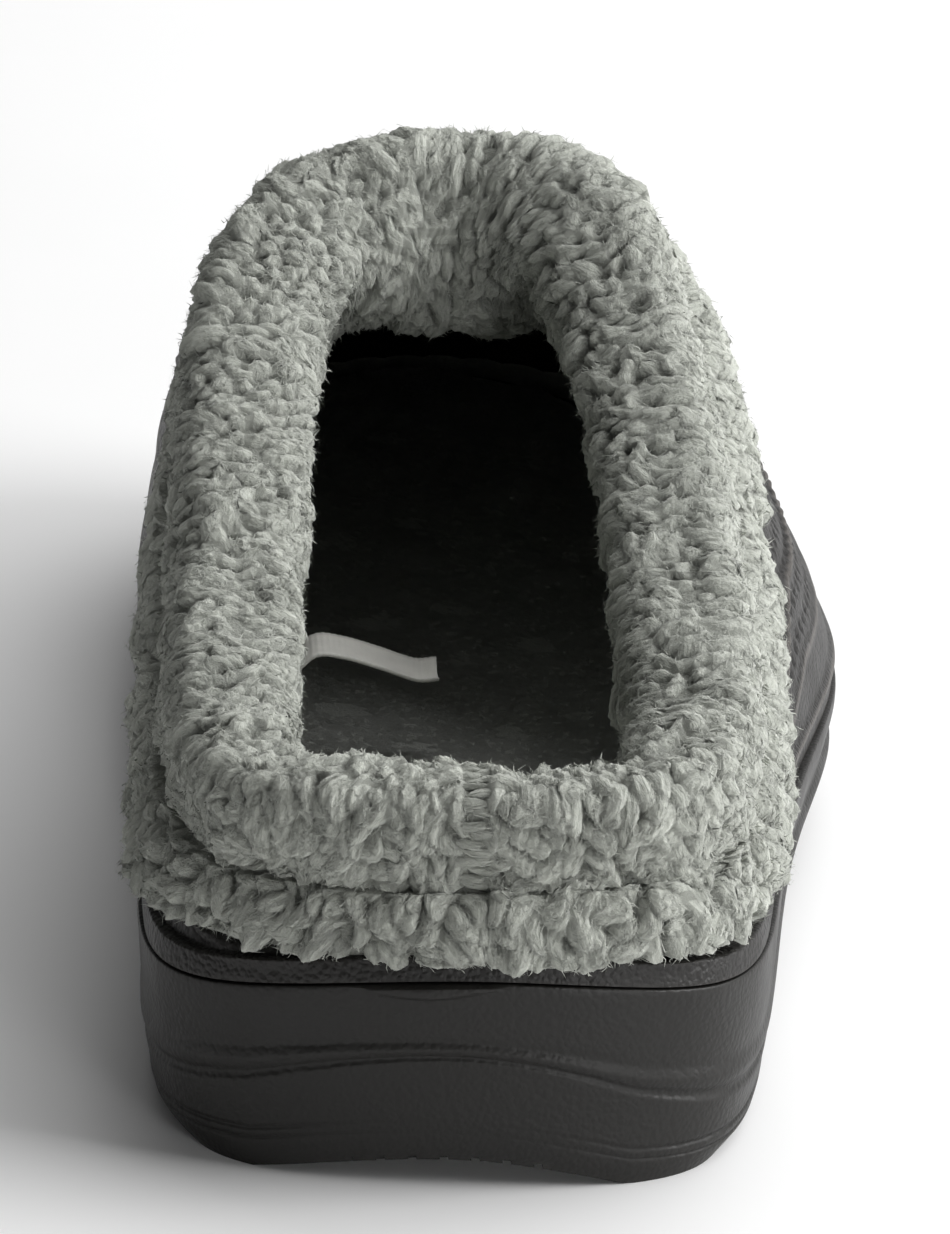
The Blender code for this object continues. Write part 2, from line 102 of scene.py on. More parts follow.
# The sole's stations: its top edge in shares of BALL_WIDTH (x) and LENGTH (y), the joint line in shares of
# HEEL_STACK and the two steps of its side in shares of its height there. The rest are millimetres: tread
# is its lift off the floor, curl how far in the flat tread begins, step the low groove's depth and ledge
# the ledge outside the upper.
SOLE_COLUMNS = ("name", "edge_x", "edge_y", "joint", "wave", "low", "tread", "curl", "step", "ledge")
SOLE_STATIONS = (
    ("heel_back", 0.014, 0.000, 1.055, 0.59, 0.22, 4.0, 3, 0.0, 2.2),
    ("heel_corner_out", 0.329, 0.026, 0.945, 0.43, 0.17, -3.0, 3, 0.8, 2.2),
    ("heel_side_out", 0.431, 0.144, 0.867, 0.40, 0.20, -1.6, 8, 0.9, 2.2),
    ("waist_out", 0.486, 0.315, 0.800, 0.43, 0.21, 2.4, 10, 0.9, 1.6),
    ("midfoot_out", 0.560, 0.473, 0.717, 0.45, 0.22, 0.8, 8, 0.9, 0.8),
    ("ball_out", 0.569, 0.610, 0.667, 0.47, 0.24, -1.6, 10, 0.9, 0.6),
    ("toe_side_out", 0.486, 0.781, 0.700, 0.45, 0.22, 1.0, 10, 0.9, 0.6),
    ("toe_corner_out", 0.366, 0.914, 0.783, 0.43, 0.20, 6.0, 12, 0.9, 0.6),
    ("toe_tip", 0.046, 1.000, 0.833, 0.42, 0.20, 8.0, 13, 0.9, 0.6),
    ("toe_corner_in", -0.287, 0.935, 0.800, 0.43, 0.20, 6.0, 12, 0.9, 0.6),
    ("toe_side_in", -0.392, 0.798, 0.717, 0.45, 0.22, 1.0, 10, 0.9, 0.6),
    ("ball_in", -0.413, 0.644, 0.667, 0.47, 0.24, -1.6, 10, 0.9, 0.6),
    ("arch_in", -0.410, 0.479, 0.717, 0.45, 0.22, 2.2, 10, 0.9, 0.8),
    ("waist_in", -0.406, 0.315, 0.800, 0.43, 0.21, 3.2, 10, 0.9, 1.6),
    ("heel_side_in", -0.414, 0.151, 0.867, 0.40, 0.20, -1.6, 8, 0.9, 2.2),
    ("heel_corner_in", -0.325, 0.043, 0.910, 0.50, 0.21, -1.2, 3, 0.8, 2.2),
)

# The upper's stations, at the same places: the moulded rim in shares of BALL_WIDTH (x), LENGTH (y) and
# INSTEP_HEIGHT (z). The rest are millimetres: rise and lean place the lower handle of the upper's rib,
# reach and fall its upper handle, and hem and lining are the fleece's drop outside and inside the rim.
UPPER_COLUMNS = (
    *("name", "collar_x", "collar_y", "collar_z"),
    *("rise", "lean", "reach", "fall", "hem", "lining"),
)
UPPER_STATIONS = (
    ("heel_back", 0.022, 0.027, 0.515, 9, -1.2, 1, 9, 17.5, 12),
    ("heel_corner_out", 0.276, 0.048, 0.515, 9, -1.2, 1, 9, 17.5, 12),
    ("heel_side_out", 0.333, 0.158, 0.566, 12, -1.0, 2, 12, 24.5, 19),
    ("waist_out", 0.324, 0.295, 0.717, 18, 0.5, 5, 16, 30, 34),
    ("midfoot_out", 0.287, 0.397, 0.869, 15, 0.5, 14, 20, 30, 38),
    ("ball_out", 0.222, 0.471, 0.960, 14, 0.0, 20, 22, 29, 36),
    ("toe_side_out", 0.134, 0.503, 0.993, 27, 1.5, 36, 20, 28, 34),
    ("toe_corner_out", 0.077, 0.511, 1.000, 38, 2.5, 50, 23, 27, 32),
    ("toe_tip", 0.019, 0.513, 1.000, 42, 2.5, 60, 27, 27, 32),
    ("toe_corner_in", -0.040, 0.511, 1.000, 38, 2.5, 50, 23, 27, 32),
    ("toe_side_in", -0.102, 0.503, 0.993, 27, 1.0, 36, 20, 28, 34),
    ("ball_in", -0.206, 0.474, 0.960, 14, 0.0, 20, 22, 29, 36),
    ("arch_in", -0.281, 0.402, 0.869, 18, 0.0, 10, 20, 30, 38),
    ("waist_in", -0.301, 0.295, 0.717, 20, 0.0, 5, 16, 30, 34),
    ("heel_side_in", -0.315, 0.158, 0.566, 12, -1.0, 2, 12, 24.5, 19),
    ("heel_corner_in", -0.250, 0.053, 0.515, 9, -1.2, 1, 9, 17.5, 12),
)

# The sole's section from its footbed, over the rim and down to the tread: the line each row is measured
# from, millimetres above it, millimetres in from the sole's top edge and share of the low groove's depth.
# The two floor rows give shares of the curl instead of millimetres in.
SOLE_SECTION = (
    ("tray_floor", "joint", -2.5, 7.4, 0.0),
    ("tray_lip", "joint", 0.0, 6.6, 0.0),
    ("rim_flat", "joint", 0.0, 1.6, 0.0),
    ("rim_edge", "joint", 0.0, 0.25, 0.0),
    ("rim_round", "joint", -0.25, 0.04, 0.0),
    ("shoulder", "joint", -1.3, 0.0, 0.0),
    ("band_top", "joint", -2.6, 0.1, 0.0),
    ("band_middle", "wave", 6.4, 1.05, 0.0),
    ("band_foot", "wave", 4.4, 1.6, 0.0),
    ("ridge_top", "wave", 3.3, 1.05, 0.0),
    ("ridge", "wave", 2.1, 0.65, 0.0),
    ("ridge_under", "wave", 0.8, 1.5, 0.0),
    ("groove", "wave", 0.0, 2.9, 0.0),
    ("groove_foot", "wave", -0.7, 2.7, 0.0),
    ("lower_lip", "wave", -1.4, 1.9, 0.0),
    ("lower_round", "wave", -2.2, 2.1, 0.0),
    ("lower_band", "low", 1.4, 3.0, 0.0),
    ("low_edge", "low", 0.6, 3.0, 0.0),
    ("low_groove", "low", 0.0, 3.2, 1.0),
    ("low_lip", "low", -0.5, 3.3, 0.0),
    ("second_edge", "low", -1.2, 3.5, 0.0),
    ("second_groove", "low", -1.6, 3.7, 0.7),
    ("second_lip", "low", -2.0, 3.7, 0.0),
    ("round", "floor", 1.6, 0.35, 0.0),
    ("tread_edge", "floor", 0.0, 1.0, 0.0),
)
LOW_LIP = 3.7 * MM  # inset of the lowest lip, from which the curl to the tread is measured
FULL_WAVE_STEP = 6 * MM  # step of the side at which the wave's rows have their full spacing
FULL_LOW_STEP = 4.8 * MM
WAVE_MEAN = 1.6 * MM  # inset about which the wave softens towards the middle of the heel
WAVE_SOFTENING = 0.55
WAVE_CLOSING = 0.5  # how far the wave's lines run together at the middle of the heel
WAVE_CLOSING_SPAN = 1.1  # stations from the middle of the heel
WAVE_SOFTENING_SPAN = 1.6
HEEL_SPAN = (1.8, 1.6)  # stations from there to where the heel's form ends, and over which it does
HEEL_UPRIGHT = 0.5  # how far the heel's side stands upright, as a share of its taper
HEEL_FOOT_OUT = 1.8 * MM  # how far the tread's edge follows it

# A thin lens-shaped lip under the joint line at the heel back
LIP_MIDDLE = -4.1 * MM
LIP_HALF_WIDTH = 10.6 * MM
LIP_HEIGHT = 2.2 * MM
LIP_RELIEF = 1.0 * MM

# Tread: count, pitch, middle and length of its grooves, and the notches at their back ends
HEEL_GROOVES = 7
HEEL_GROOVE_PITCH = 4.4 * MM
HEEL_GROOVE_MIDDLE = -2 * MM
HEEL_GROOVE_LENGTH = 62 * MM
NOTCH_LENGTH = 6 * MM
NOTCH_WIDTH = 1.2 * MM
NOTCH_DEPTH = 0.7 * MM
BEVEL_LENGTH = 13 * MM  # over which the lift of the heel's back edge runs out
BEVEL_SPAN = 1.3  # stations from the middle of the heel
TREAD_MARGIN = 1 * MM
FOREFOOT_GROOVES = 6
FOREFOOT_GROOVE_PITCH = 11 * MM
FOREFOOT_GROOVE_SPAN = 74 * MM
GROOVE_WIDTH = 1.7 * MM
GROOVE_DEPTH = 1.6 * MM

# Ribs moulded on the upper's side: millimetres above the joint line, share of the room under the fleece
# that it may not pass, half width and relief.
UPPER_RIBS = (
    ("lower_rib", 4.0, 0.30, 0.9, 0.8),
    ("upper_rib", 24.0, 0.70, 0.9, 0.9),
    ("trim_line", 13.0, 0.42, 0.9, 0.4),
)
DIMPLES_OVER = 2  # the rib that the dimples start over
RIB_SPAN = (1.2, 2.0)  # stations from the middle of the heel to where ribs begin, and over which they do
RIB_FOOT = 1.6  # half width of a rib's foot, in half widths of the rib
RIB_FADE = 20.0  # millimetres added to the distance from a rib where it fades out
RIB_HIGHLIGHT = 6.0  # how much paler the foam is along the ribs' crests, a painted highlight
RIB_CREST = (0.2, 0.75)  # millimetres from a rib's middle between which that painted highlight fades
FOOT_DROP = 0.22 * MM  # how far the upper's foot closes the joint's gap
FLANGE_HEIGHT = 3.2 * MM  # band round the heel that stands proud just over the joint line
FLANGE_RELIEF = 1.95 * MM
SWEEP_RELIEF = 0.7 * MM  # thin rib that sweeps up from the heel corner under the fleece
SWEEP_HALF_WIDTH = 1.0 * MM
SWEEP_START = 3.0 * MM
SWEEP_CLIMB = 9.0 * MM
UPPER_ROWS = 62  # rows of its outer face that show
HEM_OVERLAP = 7 * MM  # how far those rows run on under the fleece
RIB_CLEARANCE = 3 * MM  # room left between the ribs and the fleece
DIMPLE_PITCH = 4.6 * MM
DIMPLE_RADIUS = 1.35 * MM
DIMPLE_DEPTH = 0.55 * MM
DIMPLE_ROWS = 4
DIMPLE_START = 4.0 * MM  # from the rib to the first row
DIMPLE_SPAN = (3.3, 6.4)  # stations from the heel
DIMPLE_INSET = 12 * MM  # line inside the sole's edge along which they are spaced

# The fleece's backing from the hem, over the rim and down the lining: the wall face it grows from (1 outer,
# 0 inner), share of the drop from the rim, lean in degrees from straight out and depth in millimetres.
CUFF_ROWS = (
    ("hem_edge", 1, 1.00, -50, 1.0),
    ("hem_roll", 1, 0.88, -8, 2.0),
    ("lower_roll", 1, 0.67, 0, 2.5),
    ("crease", 1, 0.45, 0, 1.4),
    ("upper_roll", 1, 0.24, 4, 3.4),
    ("shoulder_out", 1, 0.02, 28, 5.4),
    ("crown_out", 1, 0.00, 64, 6.8),
    ("crown_in", 0, 0.00, 104, 7.0),
    ("shoulder_in", 0, 0.00, 144, 6.4),
    ("lining_upper", 0, 0.22, 174, 5.6),
    ("lining_middle", 0, 0.48, 180, 5.0),
    ("lining_lower", 0, 0.76, 180, 4.2),
    ("lining_edge", 0, 1.00, 225, 2.0),
)
CROWN_ROW = 6.6  # the fleece falls outwards before this row and inwards after it
CREASE_ROW = 3.0
SLOT_SHARES = (0.0, 0.34, 0.67, 1.0)
SEAM_MIDDLE = 1.8 * MM  # back seam of the cuff
SEAM_HALF_WIDTH = 2.2 * MM
SEAM_PITCH = 1.35 * MM
SEAM_ROWS = (3, 7)
SEAM_REACH = 20 * MM  # from the back of the heel, within which the coat lies flat along the seam
SEAM_STRANDS = 12  # strands on each curl of the seam

# How far the fleece swells past its even depth at each station, in millimetres: outside the rim, inside it
# and as a sag of the lining under the front of the collar.
FLEECE_SWELL = (
    ("heel_back", 0.0, 0.0, 0.0),
    ("heel_corner_out", 0.6, 0.0, 0.0),
    ("heel_side_out", 1.6, 0.8, 0.0),
    ("waist_out", -0.4, 1.6, 0.0),
    ("midfoot_out", -0.6, 1.6, 0.0),
    ("ball_out", 4.0, 1.2, 1.0),
    ("toe_side_out", 4.0, 0.5, 6.0),
    ("toe_corner_out", 3.0, 0.0, 8.0),
    ("toe_tip", 2.5, 0.0, 8.0),
    ("toe_corner_in", 3.0, 0.0, 8.0),
    ("toe_side_in", 3.0, 0.5, 6.0),
    ("ball_in", 2.0, 1.2, 1.0),
    ("arch_in", 1.0, 1.6, 0.0),
    ("waist_in", 0.8, 1.6, 0.0),
    ("heel_side_in", 1.0, 0.8, 0.0),
    ("heel_corner_in", 0.0, 0.0, 0.0),
)
# Share of those three that each cuff row takes, from the hem to the lining's edge
SWELL_SHARES = (
    (0.5, 0.0, 0.0),
    (0.8, 0.0, 0.0),
    (0.9, 0.0, 0.0),
    (0.9, 0.0, 0.0),
    (1.0, 0.0, 0.0),
    (1.0, 0.0, 0.0),
    (0.9, 0.0, 0.2),
    (0.6, 0.5, 0.5),
    (0.0, 1.0, 1.0),
    (0.0, 1.0, 1.0),
    (0.0, 0.8, 0.6),
    (0.0, 0.4, 0.2),
    (0.0, 0.0, 0.0),
)
SAG = (0.0, -0.35, -1.0)  # way in which the lining sags, towards heel and floor

# Lobes of the fleece by where they lie, from the hem to the lining: first and last cuff row, then spacing,
# length, width and height as shares of the settings, how far they follow the fall of the pile and the
# count of strands laid on them.
FLEECE_BANDS = (
    ("fleece_hem", 0.0, 3.0, 1.15, 1.15, 1.12, 1.35, 0.2, 11500),
    ("fleece_roll", 3.0, 6.0, 1.00, 1.00, 1.00, 1.00, 0.7, 11500),
    ("fleece_crown", 6.0, 8.5, 1.00, 0.95, 0.95, 0.95, 0.5, 11500),
    ("fleece_lining", 8.5, 12.0, 1.10, 1.00, 1.05, 1.05, 0.7, 11000),
)
BACKING_PARTS = 4  # rows of the backing to a cuff row
COAT_PARTS = 12  # rows of the coat to a cuff row
LOBES_NEAR = 8  # lobes that each point of the coat is raised by
LOBE_RIM = 0.8  # squared distance from a lobe's middle past which its dome runs on as a slope
LOBE_MERGE = 0.20 * MM  # how softly lobes run into each other
LOBE_TILT = 0.22  # how far a lobe's free end stands over its root
LOBE_OVERHANG = 0.30  # how far a lobe's top is drawn towards its free end, in heights
STRAND_PITCH = 1.3 * MM
STRAND_FREE = 1.2 * MM  # how far the tip of a free strand stands off
STRAND_RELIEF = 0.12 * MM  # height of the twisted strands that stand out on a lobe
NAP_RELIEF = 0.22 * MM  # height of the nap between the strands
NAP_SIZE = 0.45 * MM
LUMP_RELIEF = 0.7 * MM  # height of the broad lumps of the coat
LUMP_SIZE = 5.5 * MM
CREASE_HALF_WIDTH = 0.26  # in cuff rows
LINING_SHADE = 0.7  # painted shade: how much darker the lining is deep in the shoe
COAT_SOFTNESS = 0.42  # how far the coat's shading follows the backing under it
CLUMP_SPACING = 6.0 * MM
CLUMP_REACH = 0.62  # from a clump's middle to its edge, as a share of the spacing
CLUMP_UNEVEN = 0.13  # spread of the clumps' sizes
CLUMP_PULL = 0.25  # how far lobes lean towards the middle of their clump
LOBE_ASTRAY = 0.45  # radians by which lobes stray from their clump's turn
LOBE_UNEVEN = 0.18  # spread of the lobes' widths
LOBE_BOW = 0.75  # spread of the lobes' sideways bend
STRAND_ASTRAY = 0.7  # radians by which strands stray from their lobe's heading
CLUMP_SWIRL = math.radians(58)  # how far clumps of lobes turn from the fall of the pile
FIBRE_SCALE = 900.0  # fibre values to a metre, where a surface has no lobes
FIBRE_APART = np.array([2.3, 3.1, 1.7])  # keeps the fibres of neighbouring lobes unlike
CURL_PROFILE = ((0.0, 0.78), (0.26, 0.98), (0.54, 1.0), (0.80, 0.82), (0.95, 0.46), (1.0, 0.0))
CURL_FLATNESS = 0.88
CURL_SIDES = 6
CURL_UNEVEN = 0.24
SOFTNESS = 0.45  # how far a curl's shading follows the nap under it
STRAND_SHAPE = (0.30, 1.0, 0.90, 0.15)  # width of a strand from its root to its tip

# The insole's shorter coat: its room over the pad, rows of its bed, rows and columns of the coat, its lobes
# (length and width as shares of the settings) and its painted light and shade: paler at the heel, darker
# ahead.
PILE_ROOM = 1.0 * MM
BED_ROWS = 24
INSOLE_COAT = (111, 361)
INSOLE_LOBE_SPACING = 1.3 * MM
INSOLE_LOBE_SHARES = (0.55, 0.75, 0.2)
INSOLE_LOBE_HEIGHT = 0.6 * MM
PAINTED_SHADE_START = 48 * MM
PAINTED_SHADE_RUN = 60 * MM
PAINTED_LIGHT_AND_SHADE = (1.2, 0.25)
LINING_SKIN = 1.4 * MM  # thickness of the lining on the inner wall

RIBBON_WIDTH = 9 * MM
RIBBON_THICKNESS = 0.5 * MM
RIBBON_STATION = 12.72  # place round the shoe, in stations
RIBBON_DEPTH = 0.93  # share of the lining's drop
RIBBON_SEAM = 5.35 * MM  # depth of the fleece where it is sewn in
# The ribbon's line from the seam to its free end: millimetres out from the lining and up
RIBBON_ARCH = (
    (0.0, -3.6),
    (5.0, -3.0),
    (9.5, -1.3),
    (13.0, 1.4),
    (17.0, 0.9),
    (22.0, -0.9),
    (27.5, -3.2),
    (31.0, -3.3),
)
RIBBON_RIB_PITCH = 0.85 * MM
RIBBON_RIB_RELIEF = 0.045 * MM
RIBBON_CURL = 1.2 * MM  # how far its long edges turn up at the free end

# The camera stands where the photograph's did, measured from the part's origin. It is swung the shortest
# way from that camera's own level view to the middle of the shoe.
CAMERA_PLACE = (-0.0538, -1.460, 0.5596)
CAMERA_AIM = (-0.002, -0.030, 0.0445)
CAMERA_TILT = math.radians(20)
SENSOR_LONG_SIDE = 36.0
# Soft panels of light: name, place and size
LIGHT_PANELS = (
    ("overhead_panel", (0.60, 0.55, 1.20), 1.8),
    ("side_panel", (1.30, -0.35, 0.70), 0.9),
    ("front_panel", (0.75, -1.80, 0.30), 0.5),
)
LIGHT_AIM = (0, -0.03, 0.04)
FLOOR_REACH = 6.0


def station_values():
    """Each column of the station tables in metres, or in shares for wave and low."""
    columns = dict(zip(SOLE_COLUMNS, zip(*SOLE_STATIONS)))
    columns.update(zip(UPPER_COLUMNS, zip(*UPPER_STATIONS)))
    values = {name: np.array(column, float) for name, column in columns.items() if name != "name"}
    units = {"edge_x": BALL_WIDTH, "collar_x": BALL_WIDTH, "edge_y": LENGTH, "collar_y": LENGTH}
    units.update({"joint": HEEL_STACK, "collar_z": INSTEP_HEIGHT, "wave": 1.0, "low": 1.0})
    return {name: column * units.get(name, MM) for name, column in values.items()}


def spline_slopes(values):
    """Slopes that give a closed cubic spline through the station values a smooth curvature."""
    ring = np.eye(len(values))
    system = 4 * ring + np.roll(ring, 1, axis=1) + np.roll(ring, -1, axis=1)
    return np.linalg.solve(system, 3 * (np.roll(values, -1) - np.roll(values, 1)))


VALUES = station_values()
SLOPES = {name: spline_slopes(column) for name, column in VALUES.items()}
STATION_COUNT = len(SOLE_STATIONS)


def station(name, u):
    """A column of the tables at any place u round the shoe, counted in stations."""
    u = np.asarray(u, float)
    low = np.floor(u).astype(int)
    f = u - low
    i, j = low % STATION_COUNT, (low + 1) % STATION_COUNT
    values, slopes = VALUES[name], SLOPES[name]
    return (
        values[i] * (1 + 2 * f) * (1 - f) ** 2
        + slopes[i] * f * (1 - f) ** 2
        + values[j] * f * f * (3 - 2 * f)
        + slopes[j] * f * f * (f - 1)
    )


def unit(vectors):
    """The vectors at length 1."""
    return vectors / np.maximum(np.linalg.norm(vectors, axis=-1, keepdims=True), 1e-12)


def smooth_step(x):
    """0 below 0, 1 above 1 and an eased rise between."""
    x = np.clip(x, 0, 1)
    return x * x * (3 - 2 * x)


def swell(x):
    """A soft bump: 1 at 0, falling to 0 at -1 and 1."""
    return np.where(np.abs(x) < 1, (1 - np.minimum(x * x, 1)) ** 2, 0.0)


def from_heel(u):
    """Stations between a place round the shoe and the middle of the heel."""
    return np.minimum(u, STATION_COUNT - u)


def run_lengths(line):
    """Length along a line of points up to each of them."""
    return np.concatenate([[0], np.cumsum(np.linalg.norm(np.diff(line, axis=0), axis=1))])


def edge_outward(u):
    """Outward direction in plan, square to the sole's edge."""
    step = 1e-3
    dx = station("edge_x", u + step) - station("edge_x", u - step)
    dy = station("edge_y", u + step) - station("edge_y", u - step)
    return unit(np.stack([dy, -dx], axis=-1))


def edge_points(u, inset, height):
    """Points on the sole's edge moved in by inset, at the given height."""
    plan = np.stack([station("edge_x", u), station("edge_y", u)], axis=-1)
    plan = plan - edge_outward(u) * np.asarray(inset)[..., None]
    return np.concatenate([plan, np.broadcast_to(height, np.shape(u))[..., None]], axis=-1)


def frame_shift():
    """From the tables' axes to the frame's: where the sole's outer side and toe lie in both."""
    plan = edge_points(np.arange(5 * STATION_COUNT) / 5, 0.0, 0.0)[:, :2]
    shift = np.array(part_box("sole")[1])[:2] - plan.max(axis=0)
    return np.array([shift[0], shift[1], 0.0])


SHIFT = frame_shift()


def sole_line(name, u):
    """Height of one of the lines that the sole's section is measured from."""
    floor = np.maximum(station("tread", u), 0.0)
    if name == "floor":
        return floor
    joint = station("joint", u)
    return joint if name == "joint" else floor + station(name, u) * (joint - floor)


def rib_point(u, t):
    """The upper's outer face: a cubic rib from its foot on the sole (t = 0) to the moulded rim (t = 1)."""
    u, t = np.broadcast_arrays(np.asarray(u, float), np.asarray(t, float))
    foot = edge_points(u, station("ledge", u), station("joint", u) + GAP)
    rim = np.stack([station("collar_x", u), station("collar_y", u), station("collar_z", u)], axis=-1)
    outward = edge_outward(u) * station("lean", u)[..., None]
    lower = foot + np.concatenate([outward, station("rise", u)[..., None]], axis=-1)
    towards_foot = unit((foot - rim)[..., :2]) * station("reach", u)[..., None]
    upper = rim + np.concatenate([towards_foot, -station("fall", u)[..., None]], axis=-1)
    t = t[..., None]
    s = 1 - t
    return foot * s**3 + 3 * lower * s * s * t + 3 * upper * s * t * t + rim * t**3


def upper_face(u, t):
    """Point, outward normal and upward direction on the upper's outer face."""
    du, dt = 1e-3, 1e-3
    along = rib_point(u + du, t) - rib_point(u - du, t)
    up = rib_point(u, np.clip(t + dt, 0, 1)) - rib_point(u, np.clip(t - dt, 0, 1))
    return rib_point(u, t), unit(np.cross(along, up)), unit(up)


def rib_lengths(u):
    """Steps along each rib and the rib's length up to each step."""
    steps = np.linspace(0, 1, 161)
    curves = rib_point(np.asarray(u)[:, None], steps[None, :])
    lengths = np.cumsum(np.linalg.norm(np.diff(curves, axis=1), axis=2), axis=1)
    return steps, np.concatenate([np.zeros((len(curves), 1)), lengths], axis=1)


def t_at_drops(u, drops):
    """Rib parameters at distances along the ribs below the rim, one row of drops for each ring."""
    steps, lengths = rib_lengths(u)
    drops = np.broadcast_to(drops, (len(drops), len(u)))
    columns = [np.interp(total[-1] - drop, total, steps) for total, drop in zip(lengths, drops.T)]
    return np.array(columns).T


def even_places(point_at, count):
    """Places round the shoe that lie evenly spaced along a line round it."""
    fine = np.linspace(0, STATION_COUNT, 60 * STATION_COUNT + 1)
    length = run_lengths(point_at(fine))
    return np.interp(np.arange(count) / count * length[-1], length, fine)


def even_edge(count):
    """Places that lie evenly along the sole's edge."""
    return even_places(lambda u: edge_points(u, np.zeros_like(u), 0.0), count)


def even_collar(count):
    """Places that lie evenly along the moulded rim."""
    return even_places(lambda u: rib_point(u, 1.0), count)


def rounded(rows, passes):
    """Rows with their corners cut, each pass doubling them."""
    rows = np.asarray(rows)
    for _ in range(passes):
        near = 0.75 * rows[:-1] + 0.25 * rows[1:]
        far = 0.25 * rows[:-1] + 0.75 * rows[1:]
        middle = np.stack([near, far], axis=1).reshape(-1, *rows.shape[1:])
        rows = np.concatenate([rows[:1], middle[1:-1], rows[-1:]])
    return rows


def finer(rows, parts):
    """A smooth curve through the rows, with so many parts to each gap."""
    rows = np.asarray(rows, float)
    padded = np.concatenate([2 * rows[:1] - rows[1:2], rows, 2 * rows[-1:] - rows[-2:-1]])
    made = []
    for i in range(len(rows) - 1):
        a, b, c, d = padded[i : i + 4]
        for f in np.arange(parts) / parts:
            made.append(
                b + 0.5 * f * (c - a + f * (2 * a - 5 * b + 4 * c - d + f * (3 * (b - c) + d - a)))
            )
    return np.array(made + [rows[-1]])


def ring_faces(rows, count, closed=False):
    """Quads between rings of equal count."""
    row = np.arange(rows if closed else rows - 1)[:, None]
    column = np.arange(count)[None, :]
    here, there, beside = row * count, (row + 1) % rows * count, (column + 1) % count
    return np.stack([here + column, here + beside, there + beside, there + column], axis=-1).reshape(-1, 4)


def cap_faces(start, count):
    """Quads across the shoe that close a ring of even count, joining each point with its mirror."""
    i = np.arange(count // 2)
    return np.stack([start + i, start + i + 1, start + count - i - 1, start + (count - i) % count], axis=-1)


def capped_faces(rows, count):
    """Quads of a stack of rings, closed at both ends."""
    first, last = cap_faces(0, count), cap_faces((rows - 1) * count, count)
    return np.concatenate([ring_faces(rows, count), first[:, ::-1], last])


def outward_faces(points, faces):
    """The faces of a closed form, turned so that they point out."""
    a, b, c = (points[faces[:, i]] for i in (0, 1, 2))
    volume = np.einsum("ij,ij->i", a, np.cross(b, c)).sum()
    if faces.shape[1] == 4:
        d = points[faces[:, 3]]
        volume += np.einsum("ij,ij->i", a, np.cross(c, d)).sum()
    return faces if volume > 0 else faces[:, ::-1]


def fill_mesh(name, points, faces, tones=None, fibres=None):
    """A mesh with smooth faces, and on its points the tone and fibre values that its material reads."""
    mesh = bpy.data.meshes.new(name)
    mesh.vertices.add(len(points))
    mesh.vertices.foreach_set("co", np.asarray(points, np.float32).ravel())
    mesh.loops.add(faces.size)
    mesh.loops.foreach_set("vertex_index", np.ascontiguousarray(faces, np.int32).ravel())
    mesh.polygons.add(len(faces))
    mesh.polygons.foreach_set("loop_start", np.arange(len(faces), dtype=np.int32) * faces.shape[1])
    mesh.update(calc_edges=True)
    mesh.shade_smooth()
    if tones is not None:
        mesh.attributes.new("tone", "FLOAT", "POINT").data.foreach_set(
            "value", np.ascontiguousarray(tones, np.float32).ravel()
        )
    if fibres is not None:
        mesh.attributes.new("fibre", "FLOAT_VECTOR", "POINT").data.foreach_set(
            "vector", np.ascontiguousarray(fibres, np.float32).ravel()
        )
    return mesh


def add_piece(name, mesh, material, stands_for=()):
    """Puts a mesh on the part with its material: it rides on the one body and stands for its solids."""
    mesh.materials.append(material)
    piece = bpy.data.objects.new(name, mesh)
    bpy.context.scene.collection.objects.link(piece)
    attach(piece, "root")
    if stands_for:
        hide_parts(*stands_for)
    return piece


# Materials


def blank_material(name):
    """A new material, its node tree and its shader."""
    material = bpy.data.materials.new(name)
    material.use_nodes = True
    nodes = material.node_tree.nodes
    return material, material.node_tree, nodes["Principled BSDF"]


def add_node(tree, kind, settings=None, **inputs):
    """A node with settings and input values. An input given as a socket is linked."""
    made = tree.nodes.new(kind)
    for key, value in (settings or {}).items():
        setattr(made, key, value)
    for key, value in inputs.items():
        socket = made.inputs[key.replace("_", " ")]
        if isinstance(value, bpy.types.NodeSocket):
            tree.links.new(value, socket)
        else:
            socket.default_value = value
    return made


def add_sum(tree, kind, operation, *values):
    """A math node's first output, from values or sockets given in the order of its inputs."""
    made = add_node(tree, kind, {"operation": operation})
    for socket, value in zip(made.inputs, values):
        if isinstance(value, bpy.types.NodeSocket):
            tree.links.new(value, socket)
        else:
            socket.default_value = value
    return made.outputs[0]


def blend(tree, factor, under, over):
    """A colour socket turned by a factor towards a second colour."""
    mixed = add_node(tree, "ShaderNodeMix", {"data_type": "RGBA"}, Factor=factor, A=under, B=(*over, 1.0))
    return mixed.outputs["Result"]


def shade_ramp(tree, value, stops):
    """A colour ramp from (place, colour) stops."""
    ramp = add_node(tree, "ShaderNodeValToRGB", Fac=value)
    elements = ramp.color_ramp.elements
    while len(elements) < len(stops):
        elements.new(0.5)
    for element, (place, colour) in zip(elements, stops):
        element.position = place
        element.color = (*colour, 1.0) if len(colour) == 3 else colour
    return ramp.outputs["Color"]


def times(colour, factor):
    """A colour made paler or darker by a factor."""
    return tuple(min(1.0, c * factor) for c in colour)


def rib_crests(tree):
    """1 along the ribs' crests and 0 beside them, from the distances that the upper's points hold."""
    far = add_node(tree, "ShaderNodeAttribute", {"attribute_name": "fibre"}).outputs["Vector"]
    far = add_sum(tree, "ShaderNodeVectorMath", "ABSOLUTE", far)
    far = add_node(tree, "ShaderNodeSeparateXYZ", Vector=far).outputs
    nearest = add_sum(tree, "ShaderNodeMath", "MINIMUM", far["X"], far["Y"])
    nearest = add_sum(tree, "ShaderNodeMath", "MINIMUM", nearest, far["Z"])
    limits = {"From_Min": RIB_CREST[0], "From_Max": RIB_CREST[1], "To_Min": 1.0, "To_Max": 0.0}
    return add_node(tree, "ShaderNodeMapRange", Value=nearest, **limits).outputs["Result"]


